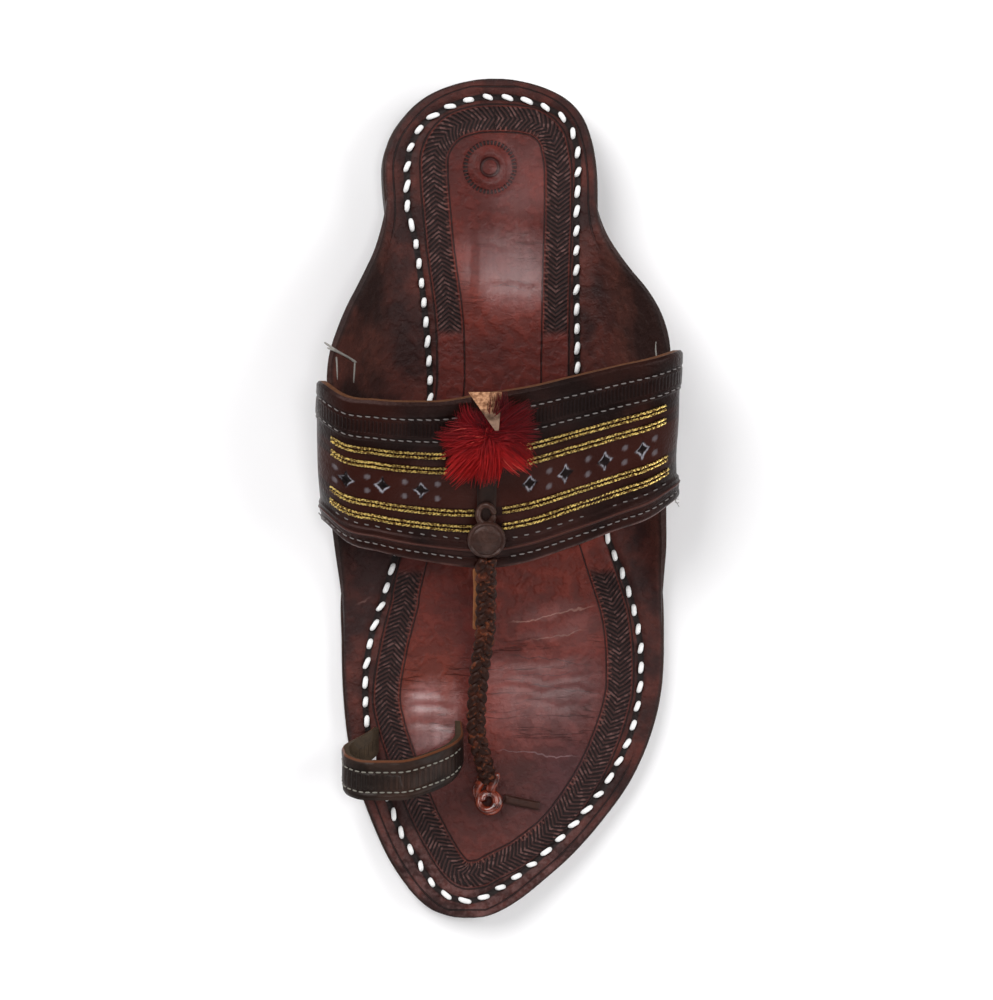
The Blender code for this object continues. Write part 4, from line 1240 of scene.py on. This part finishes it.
def buildPompom():
    # Fibres gather in locks: they leave the middle spread apart, arch and close to a tip.
    chance = np.random.default_rng(21)
    centreX, centreY = middleX, placeY(pompomForm["along"])
    radius, tall = pompomForm["radius"], pompomForm["height"]
    count, locks = pompomForm["fibres"], pompomForm["locks"]
    rings, around = 7, 3
    lock = chance.integers(0, locks, count)
    lockTurn = (np.arange(locks) + chance.uniform(-0.3, 0.3, locks)) / locks
    lockLevel = chance.uniform(0, 1, locks)
    lockReach = chance.uniform(0.88, 1.20, locks)
    spread = chance.normal(0, 1, count)
    turn = lockTurn[lock] % 1
    reach = follow(pompomRows, 1, turn) * radius * chance.uniform(0.74, 1.0, count) * lockReach[lock]
    level = np.clip(lockLevel[lock] * 0.6 + chance.uniform(0, 0.4, count), 0, 1)
    reach = np.maximum(reach * (1 - 0.35 * level**2) * (1 - 0.05 * spread**2), 0.004)[:, None]
    part = np.linspace(0, 1, rings)[None, :]
    angle = turn[:, None] * 2 * math.pi + spread[:, None] * (0.34 - 0.20 * part)
    angle = angle + chance.normal(0, 0.16, locks)[lock][:, None] * part**2
    rootTurn = chance.uniform(0, 2 * math.pi, count)[:, None]
    root = 0.0022 * np.sqrt(chance.uniform(0, 1, count))[:, None]
    x = centreX + root * np.cos(rootTurn) + reach * part * np.cos(angle)
    y = centreY + root * np.sin(rootTurn) + reach * part * np.sin(angle)
    seat = bandTop(x, y) + tabForm["thickness"] + 2.5 * gap
    hump = 0.30 + 0.70 * level[:, None]
    rise = tall * hump * (0.42 + 0.60 * np.sin(part * math.pi * 0.66) - 0.72 * part**3)
    path = grid(x, y, seat + np.clip(rise, 0.0003, tall * 0.97))
    ahead = unit(np.gradient(path, axis=1))
    side = unit(np.cross(ahead, (0.0, 0.0, 1.0)))
    high = np.cross(side, ahead)
    thick = pompomForm["thick"] * (1 - 0.75 * part**2)[..., None]
    ring = [path + (side * math.cos(at) + high * math.sin(at)) * thick for at in circle(around)]
    shape = tubes(np.stack(ring, axis=2))
    shade = chance.uniform(0, 0.55, locks)[lock] + chance.uniform(0, 0.45, count)
    values = grid(shade[:, None, None], part[..., None], np.zeros((count, rings, around)))
    marks = {"fibrePlace": values.reshape(-1, 3)}
    addPiece("pompomFibres", shape, pompomLook(), "pompom_fibre", "pompom", marks=marks)


buttonForm = {
    "radius": 0.0062,
    "height": 0.0030,
    "along": 0.4585,
    "leather": ((30, 17, 14), (58, 37, 31), 0.42, 1200.0, 0.0003, 0.25),
    "profile": (
        # share of the radius, share of the height
        (0.86, 0.00), (0.94, 0.06), (1.00, 0.30), (1.00, 0.50), (0.97, 0.70), (0.92, 0.79),
        (0.87, 0.78), (0.83, 0.70), (0.79, 0.68), (0.74, 0.76), (0.64, 0.86), (0.48, 0.94),
        (0.30, 0.98), (0.12, 1.00), (0.03, 1.00),
    ),
}


def buildButton():
    # A turned dome with a ring round it, tilted to lie on the band's slope.
    radius = buttonForm["radius"]
    x, y = middleX, float(placeY(buttonForm["along"]))
    slope = math.atan2(float(bandTop(x, y + radius) - bandTop(x, y - radius)), 2 * radius)
    lift = tabForm["thickness"] + 3 * gap
    base = (x, y - lift * math.sin(slope), float(bandTop(x, y)) + lift * math.cos(slope))

    def place(points):
        points = points.copy()
        points[:, 2] += 0.00018 * ripple(points, 0.004, 4) * (points[:, 2] > 0.0015)
        ahead, up = points[:, 1].copy(), points[:, 2].copy()
        points[:, 1] = ahead * math.cos(slope) - up * math.sin(slope)
        points[:, 2] = ahead * math.sin(slope) + up * math.cos(slope)
        return points + base

    profile = [(share * radius, high * buttonForm["height"]) for share, high in buttonForm["profile"]]
    skin = plainLeather("buttonLeather", *buttonForm["leather"])
    addPiece("buttonDome", lathe(profile, 48, place), skin, "button_leather", "button")


ringForm = {
    "x": middleX - 0.0003,
    "y": -0.0046,
    "halfWidth": 0.0025,
    "halfLength": 0.0031,
    "leather": ((26, 14, 11), (56, 34, 27), 0.36, 900.0, 0.0003, 0.4),
}


def buildButtonRing():
    # A small leather ring between the tab and the button, lying on the tab.
    turn = np.linspace(0, 2 * math.pi, 49)
    x = ringForm["x"] + ringForm["halfWidth"] * np.cos(turn)
    y = ringForm["y"] + ringForm["halfLength"] * np.sin(turn)
    z = bandTop(x, y) + tabForm["thickness"] + 0.0014 + 0.0006 * np.sin(turn * 2)
    skin = plainLeather("ringLeather", *ringForm["leather"])
    addPiece("buttonRing", strand(grid(x, y, z), 0.0010, 0.0009, 10), skin, "button_leather")


# The braid from the button to the knot, and the narrow tan strip beside its upper end.
braidRows = (
    # share of the length, share of the ball's width, height above the top sole
    (0.432, -0.043, 0.0431), (0.416, -0.042, 0.0411), (0.392, -0.038, 0.0365),
    (0.352, -0.038, 0.0315), (0.300, -0.053, 0.0257), (0.250, -0.060, 0.0200),
    (0.224, -0.058, 0.0168), (0.202, -0.044, 0.0142), (0.184, -0.030, 0.0105),
    (0.172, -0.022, 0.0072), (0.163, -0.017, 0.0046),
)
braidForm = {
    "pitch": 0.0126,
    "swing": 0.00200,  # how far a strand swings to the side
    "weave": 0.00052,  # how far it rises and dips
    "halfWidth": 0.00160,
    "halfHeight": 0.00095,
    "taper": 0.12,
    "leather": ((16, 7, 5), (44, 19, 12)),
    # orange patches and flecks: partly worn leather, partly painted highlight
    "worn": (92, 40, 22),
    "fleck": (132, 68, 40),
}
sideStrip = {"beside": 0.0031, "below": 0.0009, "leather": ((60, 32, 18), (124, 76, 42), 0.6)}


def braidPath(count):
    numbered = [(number, *row) for number, row in enumerate(braidRows)]
    step = np.linspace(0, len(numbered) - 1, 400)
    y = placeY(follow(numbered, 1, step))
    x = follow(numbered, 2, step) * soleForm["ballWidth"]
    return evenPath(grid(x, y, topSoleSurface(y) + follow(numbered, 3, step)), count)


def buildBraid():
    # Three flat strands a third of a turn apart: each swings once and rises twice in a pitch.
    count = 330
    path, length = braidPath(count)
    side, high = pathAxes(path)
    travel = np.linspace(0, length, count) / braidForm["pitch"] * 2 * math.pi
    taper = 1 - braidForm["taper"] * np.linspace(0, 1, count)
    wide, tall = braidForm["halfWidth"] * taper, braidForm["halfHeight"] * taper
    shapes = []
    for number in range(3):
        phase = travel + number * 2 * math.pi / 3
        swing = braidForm["swing"] * taper * np.sin(phase)
        weave = braidForm["weave"] * taper * np.sin(2 * phase)
        shapes.append(strand(path + side * swing[:, None] + high * weave[:, None], wide, tall, 10))
    graph = Graph("braidLeather")
    specks = graph.noise(500.0, 4.0)
    tone = graph.blend(specks, *braidForm["leather"])
    # Orange patches and flecks: partly worn leather, partly painted highlight.
    tone = graph.blend(graph.patches(190.0, 4.0, 0.54, 0.66) * 0.35, tone, braidForm["worn"])
    tone = graph.blend(graph.patches(620.0, 3.0, 0.56, 0.66) * 0.35, tone, braidForm["fleck"])
    skin = graph.finish(
        Base_Color=tone,
        Roughness=0.45,
        Specular_IOR_Level=0.15,
        Specular_Tint=(1.0, 0.66, 0.55, 1.0),
        Coat_Weight=0.05,
        Normal=graph.bump(specks + graph.cells(900.0) * 0.4, 0.00045),
    )
    addPiece("braidStrands", joined(shapes), skin, "braid_leather", "braid")
    part = slice(14, 104)
    line = path[part] + side[part] * sideStrip["beside"] - high[part] * sideStrip["below"]
    skin = plainLeather("tanStrip", *sideStrip["leather"])
    addPiece("braidSideStrip", strand(line, 0.0011, 0.0006, 8), skin, "braid_leather")


# The glossy knot at the braid's end and the thin strip that holds it.
knotForm = {
    "x": -0.017 * soleForm["ballWidth"],
    "y": float(placeY(0.139)),
    "turns": (-0.40, 2.15),  # where the coil starts, and how many turns it makes
    "radius": 0.0038,
    "close": 0.0016,  # how much the radius shrinks to the coil's end
    "rise": 0.0028,
    "leather": ((54, 17, 10), (122, 46, 24)),
    "straps": (
        # x at its start, x at its end, height above the top sole
        (-0.0021, -0.0036, 0.0040),
        (0.0020, 0.0012, 0.0052),
    ),
}
pegForm = {
    "lean": -12.0,  # in degrees
    "beside": 0.0050,  # from the knot's middle to the strip's end
    "length": 0.0120,
    "width": 0.0030,
    "thickness": 0.0013,
    "leather": ((24, 13, 11), (48, 27, 22), 0.45),
}


def buildKnot():
    # A strap wound into a coil, and two straps that run into it from under the braid's end.
    knotX, knotY = knotForm["x"], knotForm["y"]
    share = np.linspace(0, 1, 120)
    start, turns = knotForm["turns"]
    turn = (start + turns * share) * 2 * math.pi
    radius = knotForm["radius"] - knotForm["close"] * share + 0.0003 * np.sin(turn * 1.5)
    x = knotX + 0.0003 + radius * np.sin(turn)
    y = knotY - radius * np.cos(turn)
    z = float(topSoleSurface(knotY)) + 0.0020 + knotForm["rise"] * share + 0.0005 * np.sin(turn + 1.0)
    shapes = [strand(grid(x, y, z), 0.00125, 0.00155, 12)]
    part = np.linspace(0, 1, 40)
    for fromX, toX, high in knotForm["straps"]:
        x = knotX + fromX + (toX - fromX) * part + 0.0005 * np.sin(part * 7)
        y = knotY + 0.0095 - 0.0080 * part
        z = topSoleSurface(y) + high - 0.0016 * part
        shapes.append(strand(grid(x, y, z), 0.0018 - 0.0004 * part, 0.0011, 12))
    graph = Graph("knotLeather")
    skin = graph.finish(
        Base_Color=graph.blend(graph.patches(300.0, 4.0, 0.35, 0.65), *knotForm["leather"]),
        Roughness=0.22,
        Coat_Weight=0.6,
        Coat_Roughness=0.12,
        Normal=graph.bump(graph.noise(420.0, 3.0), 0.00025),
    )
    addPiece("knotCoil", joined(shapes), skin, "knot_leather", "toe_knot")


def buildPeg():
    # A flat strip turned a little about its middle, its upper face falling at the edges.
    lean = math.radians(pegForm["lean"])
    length, width = pegForm["length"], pegForm["width"]
    y = knotForm["y"] + math.sin(lean) * length / 4
    x = knotForm["x"] + pegForm["beside"] + 2 * gap + length / 2
    floor = float(topSoleSurface(y)) + 1.5 * gap
    along = np.linspace(-0.5, 0.5, 30)[:, None]
    across = np.linspace(-0.5, 0.5, 13)[None, :]
    edge = 1000 * np.minimum((0.5 - np.abs(across)) * length, (0.5 - np.abs(along)) * width)
    turnedX = across * length * math.cos(lean) - along * width * math.sin(lean) + x
    turnedY = across * length * math.sin(lean) + along * width * math.cos(lean) + y
    top = grid(turnedX, turnedY, floor + pegForm["thickness"] - 0.0006 * bell(edge, 0.35))
    skin = plainLeather("pegLeather", *pegForm["leather"])
    addPiece("pegStrap", slab(top, grid(turnedX, turnedY, floor)), skin, "peg_leather", "peg_strip")


# The toe loop.
loopRows = (
    # step, share of the ball's width, share of the length, share of the height, share of the width
    (0.00, -0.362, 0.213, 0.00, 0.62), (0.10, -0.376, 0.208, 0.13, 0.70),
    (0.24, -0.452, 0.187, 0.36, 0.92), (0.34, -0.455, 0.178, 0.66, 1.00),
    (0.46, -0.395, 0.170, 0.95, 1.00), (0.58, -0.300, 0.170, 1.00, 1.00),
    (0.70, -0.205, 0.178, 0.88, 1.00), (0.82, -0.128, 0.191, 0.58, 0.95),
    (0.91, -0.104, 0.205, 0.26, 0.84), (1.00, -0.106, 0.218, 0.00, 0.74),
)
loopForm = {
    "height": 0.0215,
    "width": 0.0132,
    "halfWall": 0.0012,
    "length": 62,  # in millimetres
    "seams": (-0.60, 0.40),
    "leather": ((18, 11, 9), (42, 26, 20)),
    "suede": ((34, 27, 21), (74, 60, 46)),
    "ladder": (14, 9, 8),
    "rim": (96, 54, 32),
}
loopThread = {
    "tone": (126, 122, 112),
    "pitch": 0.0024,
    "length": 0.0017,
    "wide": 0.00026,
    "tall": 0.00022,
    "lift": 0.0002,
    "lean": 0.0,
    "around": 6,
}


def loopPoints(step, across):
    # The toe loop's middle surface: a curve through the rows, widened along the sole.
    x = follow(loopRows, 1, step) * soleForm["ballWidth"]
    y = placeY(follow(loopRows, 2, step)) + follow(loopRows, 4, step) * loopForm["width"] / 2 * across
    return grid(x, y, topSoleSurface(y) + 2 * gap + follow(loopRows, 3, step) * loopForm["height"])


def loopFace(step, across, lift):
    # The middle surface moved outward by lift, and the directions outward.
    small = 0.002
    along = loopPoints(step + small, across) - loopPoints(step - small, across)
    beside = loopPoints(step, across + small) - loopPoints(step, across - small)
    out = unit(np.cross(along, beside))
    return loopPoints(step, across) + out * np.asarray(lift)[..., None], out


def loopLook():
    graph = Graph("loopLeather")
    along, beside, layer = graph.axes("loopPlace")
    layer = graph.mask(layer, 0.05, 0.2)
    specks = graph.noise(600.0, 4.0)
    patches = graph.noise(70.0, 4.0)
    tone = graph.blend(graph.mask(patches, 0.35, 0.65), *loopForm["leather"])
    ladder = graph.stripes(along, 1.3, 0.20, 0.34) * graph.near(beside, -0.10, 0.40, 0.34)
    tone = graph.blend(ladder * 0.4, tone, loopForm["ladder"])
    tone = graph.blend(graph.mask(beside, 0.86, 0.93) * 0.8, tone, loopForm["rim"])
    tone = graph.blend(layer, tone, graph.blend(specks, *loopForm["suede"]))
    return graph.finish(
        Base_Color=tone,
        Roughness=0.45 + (specks - 0.5) * 0.3 + layer * 0.4,
        Specular_IOR_Level=0.17,
        Specular_Tint=(1.0, 0.84, 0.76, 1.0),
        Coat_Weight=0.04,
        Normal=graph.bump(specks * 0.7 + patches * 0.8 - ladder * 0.7, 0.0004),
    )


def buildToeLoop():
    # The outer face sinks along its two seams and at its edges.
    step = np.linspace(0.003, 0.997, 130)[None, :] + np.zeros((44, 1))
    across = np.linspace(-1, 1, 44)[:, None] + np.zeros((1, 130))
    halfWidth = loopForm["width"] * 1000 / 2
    seams = sum(bell((across - row) * halfWidth, 0.55) for row in loopForm["seams"])
    edges = bell((1 - np.abs(across)) * halfWidth, 0.6)
    height = loopForm["halfWall"] + (-0.30 * seams - 0.55 * edges) * millimetre
    outer, out = loopFace(step, across, height)
    outer = outer + out * (0.18 * millimetre * ripple(outer, 0.012, 6))[..., None]
    inner, _ = loopFace(step, across, 0 * step - loopForm["halfWall"])
    along = step * loopForm["length"]
    marks = {"loopPlace": faceMarks((along, across, 0), (along, across, 1))}
    addPiece("loopStrap", slab(outer, inner), loopLook(), "loop_leather", "toe_loop", marks=marks)
    shapes = []
    for row in loopForm["seams"]:
        line = np.linspace(0.20, 0.86, 200)
        path, up = loopFace(line, row + 0 * line, 0.00100 + 0 * line)
        shapes.append(dashes(path, up, loopThread))
    thread = threadLook("loopThread", loopThread["tone"], 0.7)
    addPiece("loopThreads", joined(shapes), thread, "loop_leather")


# Thread ends on the wings and at the band's right end.
looseForm = {
    "tone": (150, 146, 140),
    "ends": (
        # points of each thread in millimetres: x, y, height above the top sole
        ((-57.0, 51.4, 2.0), (-53.6, 49.2, 0.6), (-50.0, 47.4, 0.4), (-46.2, 45.4, 0.3)),
        ((-56.0, 49.6, 1.5), (-53.2, 48.6, 0.7), (-49.0, 46.8, 0.5), (-46.6, 45.2, 0.3)),
        ((-46.8, 45.4, 0.3), (-47.0, 42.0, 0.5), (-47.3, 38.4, 0.3)),
        ((-53.0, 46.8, 0.3), (-52.8, 42.0, 0.5), (-53.0, 37.2, 0.3)),
        ((52.2, 52.4, 0.3), (52.0, 49.6, 0.6), (52.3, 46.8, 0.3)),
    ),
    "frays": 16,
    "frayStart": (0.0592, 0.0020, 0.0300),
    "frayStep": 0.0002,
}


def buildLooseThreads():
    # The listed ends follow the top sole; frays are short bowed threads with random directions.
    shapes = []
    for points in looseForm["ends"]:
        path, _ = smoothPath(np.array(points) * millimetre, 24)
        path[:, 2] += soleTop(path[:, 0], path[:, 1])
        shapes.append(strand(path, 0.00034, 0.00030, 6))
    chance = np.random.default_rng(5)
    part = np.linspace(0, 1, 9)[:, None]
    x, y, z = looseForm["frayStart"]
    for number in range(looseForm["frays"]):
        start = np.array([x, y - looseForm["frayStep"] * number, z])
        reach = np.array([0.0012, chance.uniform(-0.003, 0.005), chance.uniform(-0.002, 0.002)])
        bow = np.sin(part * 3) * chance.normal(0, 0.0003, 3)
        shapes.append(strand(start + part * reach + bow, 0.00010, 0.00010, 5))
    thread = threadLook("looseThread", looseForm["tone"], 0.8)
    addPiece("looseThreads", joined(shapes), thread, "top_sole_leather")


# The pale floor, the soft lights, the world and the camera at the photograph's angle.
studio = {
    "paper": (247, 246, 247),
    "halfFloor": 12.0,
    "camera": (-0.07315, 0.0085, 1.300),
    "target": (0, 0, 0.03),
    "lens": 138.8,
    "lights": (
        # name, place, size, power
        ("overheadLight", (0.12, 0.05, 1.75), 0.30, 4.6),
        ("leftLight", (-1.1, 1.0, 1.6), 1.4, 42.0),
        ("rightLight", (1.5, 0.2, 1.3), 1.4, 21.0),
        ("frontLight", (0.1, -1.5, 1.2), 1.4, 10.0),
    ),
}


def setUp(name, data, place, target, up):
    # Puts a camera or light so that it looks at the target with up at the top of its view.
    thing = placed(name, data)
    thing.location = place
    back = (Vector(place) - Vector(target)).normalized()
    right = Vector(up).cross(back).normalized()
    top = back.cross(right)
    matrix = [[right[row], top[row], back[row]] for row in range(3)]
    thing.rotation_euler = Matrix(matrix).to_euler()
    return thing


def buildStage():
    half = studio["halfFloor"]
    mesh = bpy.data.meshes.new("floor")
    corners = [(-half, -half, 0), (half, -half, 0), (half, half, 0), (-half, half, 0)]
    mesh.from_pydata(corners, [], [(0, 1, 2, 3)])
    mesh.materials.append(Graph("floorPaper").finish(Base_Color=studio["paper"], Roughness=0.9))
    floor = placed("floor", mesh)
    for name, place, size, power in studio["lights"]:
        data = bpy.data.lights.new(name, "AREA")
        data.size = size
        data.energy = power
        setUp(name, data, place, (0, 0, 0.02), (0, 1, 0.01))
    # The world is white at the horizon and fades to a tenth overhead.
    world = Graph("studio", "worlds", "Background", "Generated")
    fade = {0: world.position()[2], 1: 0.02, 2: 0.50, 3: 1.0, 4: 0.10}
    strength = world.read("ShaderNodeMapRange", {}, fade)
    bpy.context.scene.world = world.finish(Color=(255, 255, 255), Strength=strength)
    data = bpy.data.cameras.new("camera")
    data.lens = studio["lens"]
    bpy.context.scene.camera = setUp("camera", data, studio["camera"], studio["target"], (0, 1, 0))
    bpy.context.scene.view_settings.view_transform = "Standard"


buildTopSole()
print("top sole")
buildSoleStack()
print("outsole and heel")
buildWhiteStitches()
print("white stitches")
buildBand()
buildBandThreads()
buildGoldCords()
print("band")
buildTab()
buildTabTip()
buildPompom()
print("tab and pompom")
buildButton()
buildButtonRing()
print("button")
buildBraid()
buildKnot()
buildPeg()
print("braid, knot and peg")
buildToeLoop()
print("toe loop")
buildLooseThreads()
print("loose threads")
buildStage()
print("stage")
